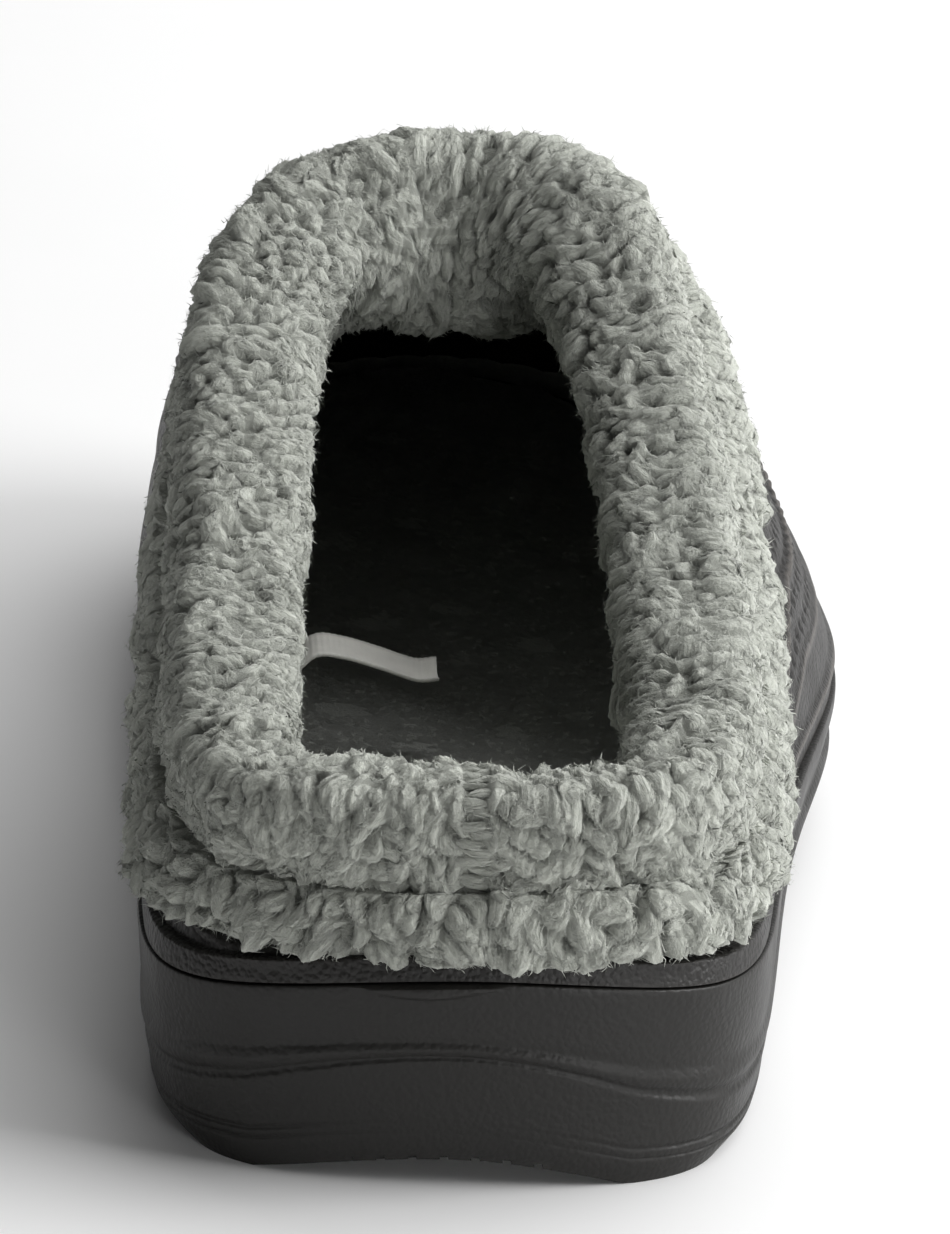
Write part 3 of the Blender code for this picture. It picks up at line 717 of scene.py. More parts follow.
def foam_material(name, colour, settings, grain_share, dimpled=False):
    """Satin moulded foam with a fine leather grain, a faint mottle and paler ridges, partly wear and partly
    painted highlight.
    """
    material, tree, shader = blank_material(name)
    place = add_node(tree, "ShaderNodeTexCoord").outputs["Object"]
    mottle = add_node(tree, "ShaderNodeTexNoise", Vector=place, Scale=70.0, Detail=4.0).outputs["Fac"]
    broad = 0.35 / settings.grain_size
    wander = add_node(tree, "ShaderNodeTexNoise", Vector=place, Scale=broad, Detail=2.0)
    grain_step = (settings.grain_size,) * 3
    bent = add_sum(tree, "ShaderNodeVectorMath", "MULTIPLY_ADD", wander.outputs["Color"], grain_step, place)
    cells = add_node(
        tree,
        "ShaderNodeTexVoronoi",
        {"feature": "SMOOTH_F1"},
        Vector=bent,
        Scale=1 / settings.grain_size,
        Smoothness=0.35,
    ).outputs["Distance"]
    fine = add_node(
        tree, "ShaderNodeTexNoise", Vector=place, Scale=2.2 / settings.grain_size, Detail=3.0
    ).outputs["Fac"]
    height = add_sum(tree, "ShaderNodeMath", "MULTIPLY_ADD", fine, 0.35, cells)
    grain = add_node(
        tree,
        "ShaderNodeBump",
        {"invert": True},
        Strength=grain_share,
        Distance=settings.grain_depth,
        Height=height,
    )
    tree.links.new(grain.outputs["Normal"], shader.inputs["Normal"])
    edge_wear_and_highlight = add_node(tree, "ShaderNodeNewGeometry").outputs["Pointiness"]
    base = shade_ramp(tree, mottle, ((0.25, times(colour, 0.82)), (0.75, times(colour, 1.18))))
    edge = shade_ramp(tree, edge_wear_and_highlight, ((0.50, (0, 0, 0)), (0.62, (1, 1, 1))))
    # paler edges and ridges: partly wear, partly a painted highlight
    shown = blend(tree, edge, base, times(colour, 1.9))
    if dimpled:
        # painted shade: the dimples' depth, held in tone, darkens the foam in them
        dent = add_node(tree, "ShaderNodeAttribute", {"attribute_name": "tone"}).outputs["Fac"]
        shown = blend(tree, dent, shown, times(colour, 0.35))
        # painted highlight: paler foam along the ribs' crests
        shown = blend(tree, rib_crests(tree), shown, times(colour, RIB_HIGHLIGHT))
    tree.links.new(shown, shader.inputs["Base Color"])
    gloss = add_node(
        tree,
        "ShaderNodeMapRange",
        Value=mottle,
        From_Min=0.3,
        From_Max=0.7,
        To_Min=settings.roughness - 0.06,
        To_Max=settings.roughness + 0.08,
    )
    tree.links.new(gloss.outputs["Result"], shader.inputs["Roughness"])
    shader.inputs["Specular IOR Level"].default_value = settings.sheen
    return material


def fleece_material(name, colour, root_shade_colour):
    """Curly wool: fine fibres along each lock, painted shade at the roots and between the lobes, paler tips
    and a soft sheen.
    """
    material, tree, shader = blank_material(name)
    fibre = add_node(tree, "ShaderNodeAttribute", {"attribute_name": "fibre"}).outputs["Vector"]
    strands = add_node(tree, "ShaderNodeTexNoise", Vector=fibre, Scale=3.2, Detail=3.0, Roughness=0.6)
    tone = add_node(tree, "ShaderNodeAttribute", {"attribute_name": "tone"}).outputs["Fac"]
    depth = add_sum(tree, "ShaderNodeMath", "MULTIPLY_ADD", strands.outputs["Fac"], 0.36, tone)
    # painted shade: the tone runs the colour from the dark root colour at the roots and in the gaps up to
    # paler tips
    roots = ((0.10, times(root_shade_colour, 0.7)), (0.30, root_shade_colour))
    tips = ((0.62, times(colour, 0.9)), (0.98, times(colour, 1.15)))
    tree.links.new(shade_ramp(tree, depth, roots + tips), shader.inputs["Base Color"])
    place = add_node(tree, "ShaderNodeTexCoord").outputs["Object"]
    wool = add_node(tree, "ShaderNodeTexNoise", Vector=place, Scale=1700.0, Detail=4.0, Roughness=0.7)
    woolly = add_node(tree, "ShaderNodeBump", Strength=0.8, Distance=0.5 * MM, Height=wool.outputs["Fac"])
    bump = add_node(
        tree,
        "ShaderNodeBump",
        Strength=0.8,
        Distance=0.7 * MM,
        Height=strands.outputs["Fac"],
        Normal=woolly.outputs["Normal"],
    )
    tree.links.new(bump.outputs["Normal"], shader.inputs["Normal"])
    shader.inputs["Roughness"].default_value = 0.95
    shader.inputs["Specular IOR Level"].default_value = 0.12
    shader.inputs["Subsurface Weight"].default_value = 0.5
    shader.inputs["Subsurface Radius"].default_value = (1.0, 1.0, 1.0)
    shader.inputs["Subsurface Scale"].default_value = 1.0 * MM
    shader.inputs["Sheen Weight"].default_value = 0.35
    shader.inputs["Sheen Roughness"].default_value = 0.55
    shader.inputs["Sheen Tint"].default_value = (*times(colour, 1.8), 1.0)
    return material


def ribbon_material(name, colour):
    """White woven ribbon: close ribs across it and a fine weave."""
    material, tree, shader = blank_material(name)
    place = add_node(tree, "ShaderNodeTexCoord").outputs["Object"]
    weave = add_node(tree, "ShaderNodeTexNoise", Vector=place, Scale=2600.0, Detail=2.0).outputs["Fac"]
    dirt_and_shade = add_node(tree, "ShaderNodeTexNoise", Vector=place, Scale=160.0, Detail=3.0).outputs["Fac"]
    tree.links.new(
        shade_ramp(tree, dirt_and_shade, ((0.3, times(colour, 0.86)), (0.7, times(colour, 1.06)))),
        shader.inputs["Base Color"],
    )
    bump = add_node(tree, "ShaderNodeBump", Strength=0.4, Distance=0.12 * MM, Height=weave)
    tree.links.new(bump.outputs["Normal"], shader.inputs["Normal"])
    shader.inputs["Roughness"].default_value = 0.7
    shader.inputs["Sheen Weight"].default_value = 0.2
    return material


# Sole


def sole_rings(around):
    """Rings of the sole's section, from the footbed over the rim and down its stepped side to the tread."""
    heights = {name: sole_line(name, around) for name in ("joint", "wave", "low", "floor")}
    beside_heel = from_heel(around)
    heel = 1 - smooth_step((beside_heel - HEEL_SPAN[0]) / HEEL_SPAN[1])
    closing = 1 - WAVE_CLOSING * swell(beside_heel / WAVE_CLOSING_SPAN)
    softening = WAVE_SOFTENING * swell(beside_heel / WAVE_SOFTENING_SPAN)
    spread = {
        "joint": 1.0,
        "wave": np.clip((heights["wave"] - heights["low"]) / FULL_WAVE_STEP, 0, 1) * closing,
        "low": np.clip((heights["low"] - heights["floor"]) / FULL_LOW_STEP, 0, 1),
        "floor": 1.0,
    }
    rings = []
    for _, line, rise, inset, groove in SOLE_SECTION:
        inward = np.full_like(around, inset * MM) + groove * station("step", around)
        if line == "wave":
            inward -= np.maximum(inward - WAVE_MEAN, 0) * softening
        if line == "floor":
            inward = LOW_LIP + inset * (station("curl", around) - 0.5 * LOW_LIP) - HEEL_FOOT_OUT * heel
        elif line != "joint":
            inward *= 1 - HEEL_UPRIGHT * heel
        rings.append(edge_points(around, inward, heights[line] + rise * MM * spread[line]))
    return np.array(rings)


def tread_bevel(edge, around):
    """The ring on the tread where the lift of the heel's back edge has run out."""
    inward = TREAD_MARGIN + BEVEL_LENGTH * swell(from_heel(around) / BEVEL_SPAN)
    ring = edge.copy()
    ring[:, :2] -= edge_outward(around) * inward[:, None]
    ring[from_heel(around) < 1, 2] = 0.0
    return ring


def heel_lip(points, around):
    """How far the lens-shaped lip stands out, for points in rings round the sole."""
    lens = np.clip(1 - ((points[..., 0] - LIP_MIDDLE) / LIP_HALF_WIDTH) ** 2, 0, 1)
    down = station("joint", around) - points[..., 2]
    at_heel = (from_heel(around) < 1) & (lens > 0)
    depth = np.clip(down / np.maximum(LIP_HEIGHT * lens, 1e-6), -1, 2)
    edge = smooth_step(down / (0.5 * MM)) * (1 - smooth_step((depth - 0.8) / 0.3))
    return np.where(at_heel, LIP_RELIEF * np.sqrt(lens) * edge, 0.0)


def groove_boxes():
    """Low and high corners of the boxes that cut the tread: lengthwise at the heel, across at the ball."""
    under = -5 * MM
    back = np.linspace(-0.9, 0.9, 91)
    boxes = []

    def cut(x_from, x_to, y_from, y_to, top):
        boxes.append(((x_from, y_from, under), (x_to, y_to, top)))

    for number in range(HEEL_GROOVES):
        x = HEEL_GROOVE_MIDDLE + (number - (HEEL_GROOVES - 1) / 2) * HEEL_GROOVE_PITCH
        cut(x - GROOVE_WIDTH / 2, x + GROOVE_WIDTH / 2, 0, HEEL_GROOVE_LENGTH, GROOVE_DEPTH)
        lift = np.interp(x, station("edge_x", back), sole_line("floor", back)) + NOTCH_DEPTH
        cut(x - NOTCH_WIDTH / 2, x + NOTCH_WIDTH / 2, under, NOTCH_LENGTH, lift)
    ball = [i for i, row in enumerate(SOLE_STATIONS) if row[0].startswith("ball")]
    across, middle = VALUES["edge_x"][ball].mean(), VALUES["edge_y"][ball].mean()
    for number in range(FOREFOOT_GROOVES):
        y = middle + (number - (FOREFOOT_GROOVES - 1) / 2) * FOREFOOT_GROOVE_PITCH
        reach = FOREFOOT_GROOVE_SPAN / 2
        cut(across - reach, across + reach, y - GROOVE_WIDTH, y + GROOVE_WIDTH, GROOVE_DEPTH)
    return boxes


def cut_grooves(mesh):
    """The mesh with the tread grooves cut out of it."""
    body = bpy.data.objects.new("uncut_sole", mesh)
    cutters = bpy.data.collections.new("tread_cutters")
    bpy.context.scene.collection.children.link(cutters)
    bpy.context.scene.collection.objects.link(body)
    sides = ((0, 1, 3, 2), (4, 6, 7, 5), (0, 4, 5, 1), (2, 3, 7, 6), (0, 2, 6, 4), (1, 5, 7, 3))
    for low, high in groove_boxes():
        x, y, z = (np.array([low, high]) + SHIFT).T
        corners = np.array([(x[i], y[j], z[k]) for i in (0, 1) for j in (0, 1) for k in (0, 1)])
        faces = outward_faces(corners - corners.mean(axis=0), np.array(sides))
        box = fill_mesh("tread_cutter", corners, faces)
        cutters.objects.link(bpy.data.objects.new("tread_cutter", box))
    cut = body.modifiers.new("tread_grooves", "BOOLEAN")
    cut.operand_type = "COLLECTION"
    cut.collection = cutters
    cut.operation = "DIFFERENCE"
    cut.solver = "EXACT"
    bpy.context.view_layer.update()
    done = bpy.data.meshes.new_from_object(body.evaluated_get(bpy.context.evaluated_depsgraph_get()))
    for helper in [body, *cutters.objects]:
        bpy.data.objects.remove(helper)
    bpy.data.collections.remove(cutters)
    return done


class CLOG_OT_sole(bpy.types.Operator):
    """Builds the foam sole with its stepped, waving side and its tread"""

    bl_idname = "clog.build_sole"
    bl_label = "Sole"

    def execute(self, context):
        around = even_edge(SOLE_AROUND)
        rings = rounded(sole_rings(around), 2)
        rings = np.concatenate([rings, tread_bevel(rings[-1], around)[None]])
        lip = heel_lip(rings, around)
        rings[..., :2] += edge_outward(around) * lip[..., None]
        rows, count = rings.shape[:2]
        points = rings.reshape(-1, 3) + SHIFT
        faces = outward_faces(points, capped_faces(rows, count))
        mesh = cut_grooves(fill_mesh("moulded_sole", points, faces))
        if len(mesh.polygons) < rows * count // 2:
            raise RuntimeError("the tread grooves left nothing of the sole")
        mesh.shade_smooth()
        mesh.set_sharp_from_angle(angle=math.radians(48))
        mesh.materials.clear()
        foam = context.scene.clog_foam
        material = foam_material("sole_foam", foam.sole_colour, foam, 0.35)
        add_piece("moulded_sole", mesh, material, ["sole"])
        return {"FINISHED"}


# Upper


def side_share(u):
    """How far the moulded ribs stand out: full along sides and toe, nothing round the heel."""
    return smooth_step((from_heel(u) - RIB_SPAN[0]) / RIB_SPAN[1])


def upper_relief(u, height, room, climb):
    """Relief of ribs, flange, sweep and dimples, depth in a dimple and distances from the ribs."""
    relief = np.zeros_like(height)
    from_ribs = []
    centres = []
    for _, middle, share, half, proud in UPPER_RIBS:
        centre = np.minimum(middle * MM, share * room)
        relief += proud * MM * side_share(u) * swell((height - centre) / (half * MM * RIB_FOOT))
        from_ribs.append((height - centre) / MM + RIB_FADE * (1 - side_share(u)))
        centres.append(centre)
    heel = 1 - side_share(u)
    relief += FLANGE_RELIEF * heel * (1 - smooth_step((height - FLANGE_HEIGHT) / (0.9 * MM)))
    beside_heel = from_heel(u)
    sweep = SWEEP_START + SWEEP_CLIMB * smooth_step((beside_heel - 0.55) / 1.6)
    present = smooth_step((beside_heel - 0.5) / 0.4) * (1 - smooth_step((beside_heel - 2.0) / 0.8))
    relief += SWEEP_RELIEF * present * swell((height - sweep) / (SWEEP_HALF_WIDTH * RIB_FOOT))
    dent = dimple_depth(u, climb, room - centres[DIMPLES_OVER])
    return relief - DIMPLE_DEPTH * dent, dent, np.stack(from_ribs, axis=-1)


def dimple_depth(u, climb, room):
    """Depth in rows of round dimples over the trim line, along both sides of the forefoot."""
    fine = np.linspace(0, STATION_COUNT, 40 * STATION_COUNT + 1)
    length = run_lengths(edge_points(fine, np.full_like(fine, DIMPLE_INSET), 0.0))
    along = np.interp(u, fine, length)
    row = np.round((climb - DIMPLE_START) / DIMPLE_PITCH)
    offset = np.where(row % 2 == 0, 0.0, DIMPLE_PITCH / 2)
    column = np.round((along - offset) / DIMPLE_PITCH)
    centre_u = np.interp(column * DIMPLE_PITCH + offset, length, fine)
    centre_climb = row * DIMPLE_PITCH + DIMPLE_START
    along_side = from_heel(centre_u)
    inside = (along_side > DIMPLE_SPAN[0]) & (along_side < DIMPLE_SPAN[1])
    inside &= (row >= 0) & (row < DIMPLE_ROWS) & (centre_climb < room - 1.0 * MM)
    away = np.hypot(along - offset - column * DIMPLE_PITCH, climb - centre_climb)
    return np.where(inside, swell(away / (DIMPLE_RADIUS * 1.25)), 0.0)


class CLOG_OT_upper(bpy.types.Operator):
    """Builds the moulded upper: one hollow wall with its ribs and dimples"""

    bl_idname = "clog.build_upper"
    bl_label = "Upper"

    def execute(self, context):
        around = even_edge(UPPER_AROUND)
        _, lengths = rib_lengths(around)
        whole = lengths[:, -1]
        hem = station("hem", around)
        shown = whole - hem + HEM_OVERLAP
        outer = whole - np.linspace(0, 1, UPPER_ROWS)[:, None] * shown
        under = np.array([0.5, 0.25, 0.0])[:, None] * (hem - HEM_OVERLAP)
        t = t_at_drops(around, np.concatenate([outer, under]))
        point, normal, _ = upper_face(np.broadcast_to(around, t.shape), t)
        height = point[..., 2] - station("joint", around)
        below_hem = rib_point(around, t_at_drops(around, (hem + RIB_CLEARANCE)[None])[0])
        room = below_hem[:, 2] - station("joint", around)
        _, middle, share, _, _ = UPPER_RIBS[DIMPLES_OVER]
        rib_middle = np.minimum(middle * MM, share * room)
        climb = np.cumsum(np.linalg.norm(np.diff(point, axis=0, prepend=point[:1]), axis=2), axis=0)
        rising = zip(rib_middle, height[:UPPER_ROWS].T, climb[:UPPER_ROWS].T)
        at_rib = np.array([np.interp(*column) for column in rising])
        places = np.broadcast_to(around, t.shape)
        relief, dent, from_ribs = upper_relief(places, height, room, climb - at_rib)
        outside = point + normal * relief[..., None]
        lining = station("lining", around)
        inner_drops = [lining * share for share in SLOT_SHARES]
        inner_drops += [lining + (whole - lining) * share for share in (0.25, 0.5, 0.75, 1.0)]
        inner_t = t_at_drops(around, np.array(inner_drops))
        inner_point, inner_normal, _ = upper_face(np.broadcast_to(around, inner_t.shape), inner_t)
        inside = inner_point - inner_normal * WALL
        outside[0, :, 2] -= FOOT_DROP
        inside[-1, :, 2] = outside[0, :, 2]
        rings = np.concatenate([outside, inside])
        rows, count = rings.shape[:2]
        points = rings.reshape(-1, 3) + SHIFT
        # tone holds the dimples' depth, which the foam's colour turns into painted shade
        tones = np.concatenate([dent, np.zeros(inside.shape[:2])]).ravel()
        faces = outward_faces(points, ring_faces(rows, count, closed=True))
        from_ribs = np.concatenate([from_ribs, np.full((*inside.shape[:2], 3), RIB_FADE)])
        mesh = fill_mesh("moulded_upper", points, faces, tones=tones, fibres=from_ribs)
        mesh.set_sharp_from_angle(angle=math.radians(60))
        foam = context.scene.clog_foam
        material = foam_material("upper_foam", foam.upper_colour, foam, 0.8, dimpled=True)
        add_piece("moulded_upper", mesh, material, ["upper"])
        return {"FINISHED"}


# Fleece


def wall_face(u, outer, drops):
    """Points, normals and upward directions of the wall's outer or inner face, at drops below the rim."""
    t = t_at_drops(u, drops)
    point, normal, up = upper_face(np.broadcast_to(u, t.shape), t)
    return (point if outer else point - normal * WALL), normal, up


def cuff_backing(around, parts=BACKING_PARTS):
    """Rings of the fleece's backing, from the hem over the rim to the lining's edge."""
    drops = {1: station("hem", around), 0: station("lining", around)}
    places = np.arange(STATION_COUNT + 1)
    outside, inside, sag = (np.interp(around, places, (*c, c[0])) for c in list(zip(*FLEECE_SWELL))[1:])
    rings = []
    for (_, outer, share, angle, backing), shares in zip(CUFF_ROWS, SWELL_SHARES):
        point, normal, up = wall_face(around, outer, drops[outer][None] * share)
        turn = math.radians(angle)
        away = normal[0] * math.cos(turn) + up[0] * math.sin(turn)
        depth = backing + shares[0] * outside + shares[1] * inside
        sagged = np.array(SAG) * (shares[2] * sag * MM)[:, None]
        rings.append(point[0] + away * (depth * MM)[:, None] + sagged)
    return finer(rings, parts)


def slot_rings(around):
    """Rings where the backing hugs both faces of the wall."""
    rings = []
    for outer, shares in ((0, SLOT_SHARES[::-1]), (1, SLOT_SHARES)):
        drop = station("hem" if outer else "lining", around)
        for share in shares:
            point, normal, up = wall_face(around, outer, drop[None] * share)
            lift = up[0] * CUFF_GAP if share == 0 else 0.0
            rings.append(point[0] + normal[0] * (CUFF_GAP if outer else -CUFF_GAP) + lift)
    return np.array(rings)


class Surface:
    """A grid of points that fleece grows on, with its normals and the direction from row to row."""

    def __init__(self, grid, closed):
        self.grid = grid
        self.closed = closed
        along_rows = np.gradient(grid, axis=0)
        if closed:
            along_ring = np.roll(grid, -1, axis=1) - np.roll(grid, 1, axis=1)
        else:
            along_ring = np.gradient(grid, axis=1)
        self.normals = unit(np.cross(along_ring, along_rows))
        self.rise = unit(along_rows)

    def at(self, field, row, column):
        """A field of the grid at places between its points."""
        rows, columns = field.shape[:2]
        r = np.clip(row, 0, rows - 1.001)
        i = r.astype(int)
        f = (r - i)[:, None]
        c = np.mod(column, columns) if self.closed else np.clip(column, 0, columns - 1.001)
        j = np.floor(c).astype(int)
        g = (c - j)[:, None]
        k = (j + 1) % columns
        j = j % columns
        near = field[i, j] * (1 - g) + field[i, k] * g
        far = field[i + 1, j] * (1 - g) + field[i + 1, k] * g
        return near * (1 - f) + far * f

    def scatter(self, spacing, chance, span=None, tries=7):
        """Rows, columns and points of a random scatter at least the spacing apart, in a span of rows."""
        grid = self.grid
        beside = np.roll(grid, -1, axis=1) if self.closed else grid[:, 1:]
        here = grid if self.closed else grid[:, :-1]
        across = beside[:-1] - here[:-1]
        up = here[1:] - here[:-1]
        areas = np.linalg.norm(np.cross(across, up), axis=-1)
        if span:
            middle = np.arange(len(areas)) + 0.5
            areas[(middle < span[0]) | (middle > span[1])] = 0.0
        wanted = int(tries * areas.sum() / spacing**2)
        cells = chance.choice(areas.size, size=wanted, p=(areas / areas.sum()).ravel())
        row = cells // areas.shape[1] + chance.random(wanted)
        column = cells % areas.shape[1] + chance.random(wanted)
        points = self.at(grid, row, column)
        keys = np.floor(points / spacing).astype(int)
        taken, kept = {}, []
        for n, (point, key) in enumerate(zip(points.tolist(), keys.tolist())):
            if self.is_free(point, key, taken, spacing * spacing):
                taken.setdefault(tuple(key), []).append(point)
                kept.append(n)
        return row[kept], column[kept], points[kept]

    @staticmethod
    def is_free(point, key, taken, least):
        """Whether no point taken so far lies within the least squared distance."""
        x, y, z = point
        for i in (-1, 0, 1):
            for j in (-1, 0, 1):
                for k in (-1, 0, 1):
                    for a, b, c in taken.get((key[0] + i, key[1] + j, key[2] + k), ()):
                        if (a - x) ** 2 + (b - y) ** 2 + (c - z) ** 2 < least:
                            return False
        return True


def drift(points, size, kind):
    """A settled wander from -1 to 1 over the points, with features of about the given size."""
    phase = np.array([1.7, 4.1, 2.6]) * (kind + 1)
    a = np.sin(points @ np.array([1.0, 0.6, -0.5]) / size * 2.1 + phase[0])
    b = np.sin(points @ np.array([-0.4, 1.0, 0.7]) / size * 1.7 + phase[1])
    c = np.sin(points @ np.array([0.8, -0.7, 1.0]) / size * 1.3 + phase[2] + a)
    return (a + b + c) / 3


def lock_frames(root, normal, lean, length, start, curl, sway, phase, steps):
    """Centre line of each lock and its sideways and upward directions, at steps from 0 to 1."""
    side = np.cross(normal, lean)
    turn = start[:, None] + curl[:, None] * steps[None, :]
    swing = sway[:, None] * np.sin(2.4 * math.pi * steps[None, :] + phase[:, None])
    heading = (
        normal[:, None] * np.cos(turn)[..., None]
        + lean[:, None] * np.sin(turn)[..., None]
        + side[:, None] * swing[..., None]
    )
    heading = unit(heading)
    stride = np.diff(steps, prepend=steps[0])
    line = root[:, None] + np.cumsum(heading * (stride[None, :] * length[:, None])[..., None], axis=1)
    across = unit(side[:, None] - heading * np.sum(side[:, None] * heading, axis=-1, keepdims=True))
    return line, across, np.cross(heading, across), heading


CURL_FIELDS = ("root", "normal", "lean", "length", "start", "curl", "sway", "phase")


def grow_curls(curls, chance):
    """Wool curls: bent, tapering tubes of uneven girth, as points, triangles, tones, fibres and normals."""
    count, sides = len(curls["root"]), CURL_SIDES
    steps, girth = (np.array(column) for column in zip(*CURL_PROFILE))
    line, across, over, heading = lock_frames(*(curls[k] for k in CURL_FIELDS), steps)
    rings = len(steps) - 1
    angle = 2 * math.pi * np.arange(sides) / sides
    turned = angle + (curls["twist"][:, None] * steps[:-1] + curls["phase"][:, None])[..., None]
    uneven = 1 + CURL_UNEVEN * (chance.random((count, 1, sides)) - 0.5)
    uneven = uneven + CURL_UNEVEN * (chance.random((count, rings, sides)) - 0.5)
    radius = (curls["width"][:, None] / 2 * girth[:-1])[..., None] * uneven
    spokes = across[:, :-1, None] * np.cos(turned)[..., None]
    spokes = spokes + over[:, :-1, None] * (CURL_FLATNESS * np.sin(turned))[..., None]
    ring = line[:, :-1, None] + radius[..., None] * spokes
    points = np.concatenate([ring.reshape(count, -1, 3), line[:, -1:]], axis=1)
    away = np.concatenate([spokes.reshape(count, -1, 3), heading[:, -1:]], axis=1)
    spin = np.stack([np.cos(turned), np.sin(turned)], axis=-1)
    lengthwise = np.broadcast_to((steps[:-1] * 0.5)[None, :, None, None], (*turned.shape, 1))
    fibre = np.concatenate([spin, lengthwise], axis=-1).reshape(count, -1, 3)
    fibre = np.concatenate([fibre, np.tile([[[0.0, 0.0, 0.5]]], (count, 1, 1))], axis=1)
    fibre = fibre + curls["number"][:, None, None] * FIBRE_APART
    ramp = np.append(np.repeat(steps[:-1], sides), 1.0)
    # painted shade: each curl is darker at its root and paler towards its tip
    tone = (0.06 + 0.50 * ramp**0.7)[None, :] * curls["tone"][:, None]
    triangles = curl_faces(rings, sides)[None] + (np.arange(count) * points.shape[1])[:, None, None]
    normals = unit(unit(away) * (1 - SOFTNESS) + curls["normal"][:, None] * SOFTNESS)
    return tuple(field.reshape(-1, 3) for field in (points, triangles)) + (
        tone.ravel(),
        fibre.reshape(-1, 3),
        normals.reshape(-1, 3),
    )


def grow_strands(curls, chance, strands, thickness):
    """Fine flat strands that lie along each curl, wind round it and run together into a wisp at its tip."""
    count = len(curls["root"])
    steps = np.linspace(0, 1, 14)
    fields = lock_frames(*(curls[k] for k in CURL_FIELDS), steps)
    number = np.repeat(np.arange(count), strands)
    total = len(number)
    begin = 0.05 + 0.5 * chance.random(total)
    finish = np.minimum(begin + 0.40 + 0.25 * chance.random(total), 0.98)
    share = np.linspace(0, 1, len(STRAND_SHAPE))
    place = begin[:, None] + (finish - begin)[:, None] * share
    spot = place * (len(steps) - 1)
    low = spot.astype(int)
    part = (spot - low)[..., None]
    line, across, over, heading = (
        f[number[:, None], low] * (1 - part) + f[number[:, None], low + 1] * part for f in fields
    )
    angle = chance.random(total)[:, None] * 2 * math.pi + (curls["twist"][number] * 1.2)[:, None] * place
    sway = 0.15 + 0.25 * chance.random(total)
    angle = angle + sway[:, None] * np.sin(3.6 * share + (6.3 * chance.random(total))[:, None])
    away = across * np.cos(angle)[..., None] + over * np.sin(angle)[..., None]
    girth = np.interp(place, *zip(*CURL_PROFILE))
    lift = 1.0 + 0.07 * chance.random(total)[:, None] + 0.35 * (chance.random(total) ** 8)[:, None] * share
    radius = curls["width"][number][:, None] / 2 * (girth * lift + 0.02)
    path = line + away * radius[..., None]
    flat = unit(np.cross(heading, away))
    half = (thickness / 2 * (0.7 + 0.6 * chance.random(total)))[:, None] * np.array(STRAND_SHAPE)
    points = np.stack([path - flat * half[..., None], path + flat * half[..., None]], axis=2)
    tint = (curls["tone"][number] * (0.85 + 0.3 * chance.random(total)))[:, None]
    # painted shade: each strand is darker near its curl's root and paler towards the tip
    tone = np.repeat(tint * (0.12 + 0.50 * np.clip(place, 0, 1) ** 0.7), 2)
    normals = unit(away * (1 - SOFTNESS) + curls["normal"][number][:, None] * SOFTNESS)
    normals = np.repeat(normals.reshape(-1, 3), 2, axis=0)
    return points.reshape(-1, 3), strand_faces(total), tone, strand_fibres(total, chance), normals


def strand_faces(count):
    """Triangles of so many flat strands."""
    k = np.arange(len(STRAND_SHAPE) - 1) * 2
    strip = np.concatenate([np.stack([k, k + 1, k + 3], axis=-1), np.stack([k, k + 3, k + 2], axis=-1)])
    starts = np.arange(count) * 2 * len(STRAND_SHAPE)
    return (strip[None] + starts[:, None, None]).reshape(-1, 3)


def strand_fibres(count, chance):
    """Fibre values of so many strands, each with its own."""
    return np.repeat(chance.random(count) * 60, 2 * len(STRAND_SHAPE))[:, None] * FIBRE_APART


def curl_faces(rings, sides):
    """Triangles of one curl: its side and its rounded tip."""
    i, j = np.meshgrid(np.arange(rings - 1), np.arange(sides), indexing="ij")
    here, there, beside = i * sides, (i + 1) * sides, (j + 1) % sides
    first = np.stack([here + j, here + beside, there + beside], axis=-1).reshape(-1, 3)
    second = np.stack([here + j, there + beside, there + j], axis=-1).reshape(-1, 3)
    last = (rings - 1) * sides
    k = np.arange(sides)
    tip = np.stack([last + k, last + (k + 1) % sides, np.full_like(k, rings * sides)], axis=-1)
    return np.concatenate([first, second, tip])


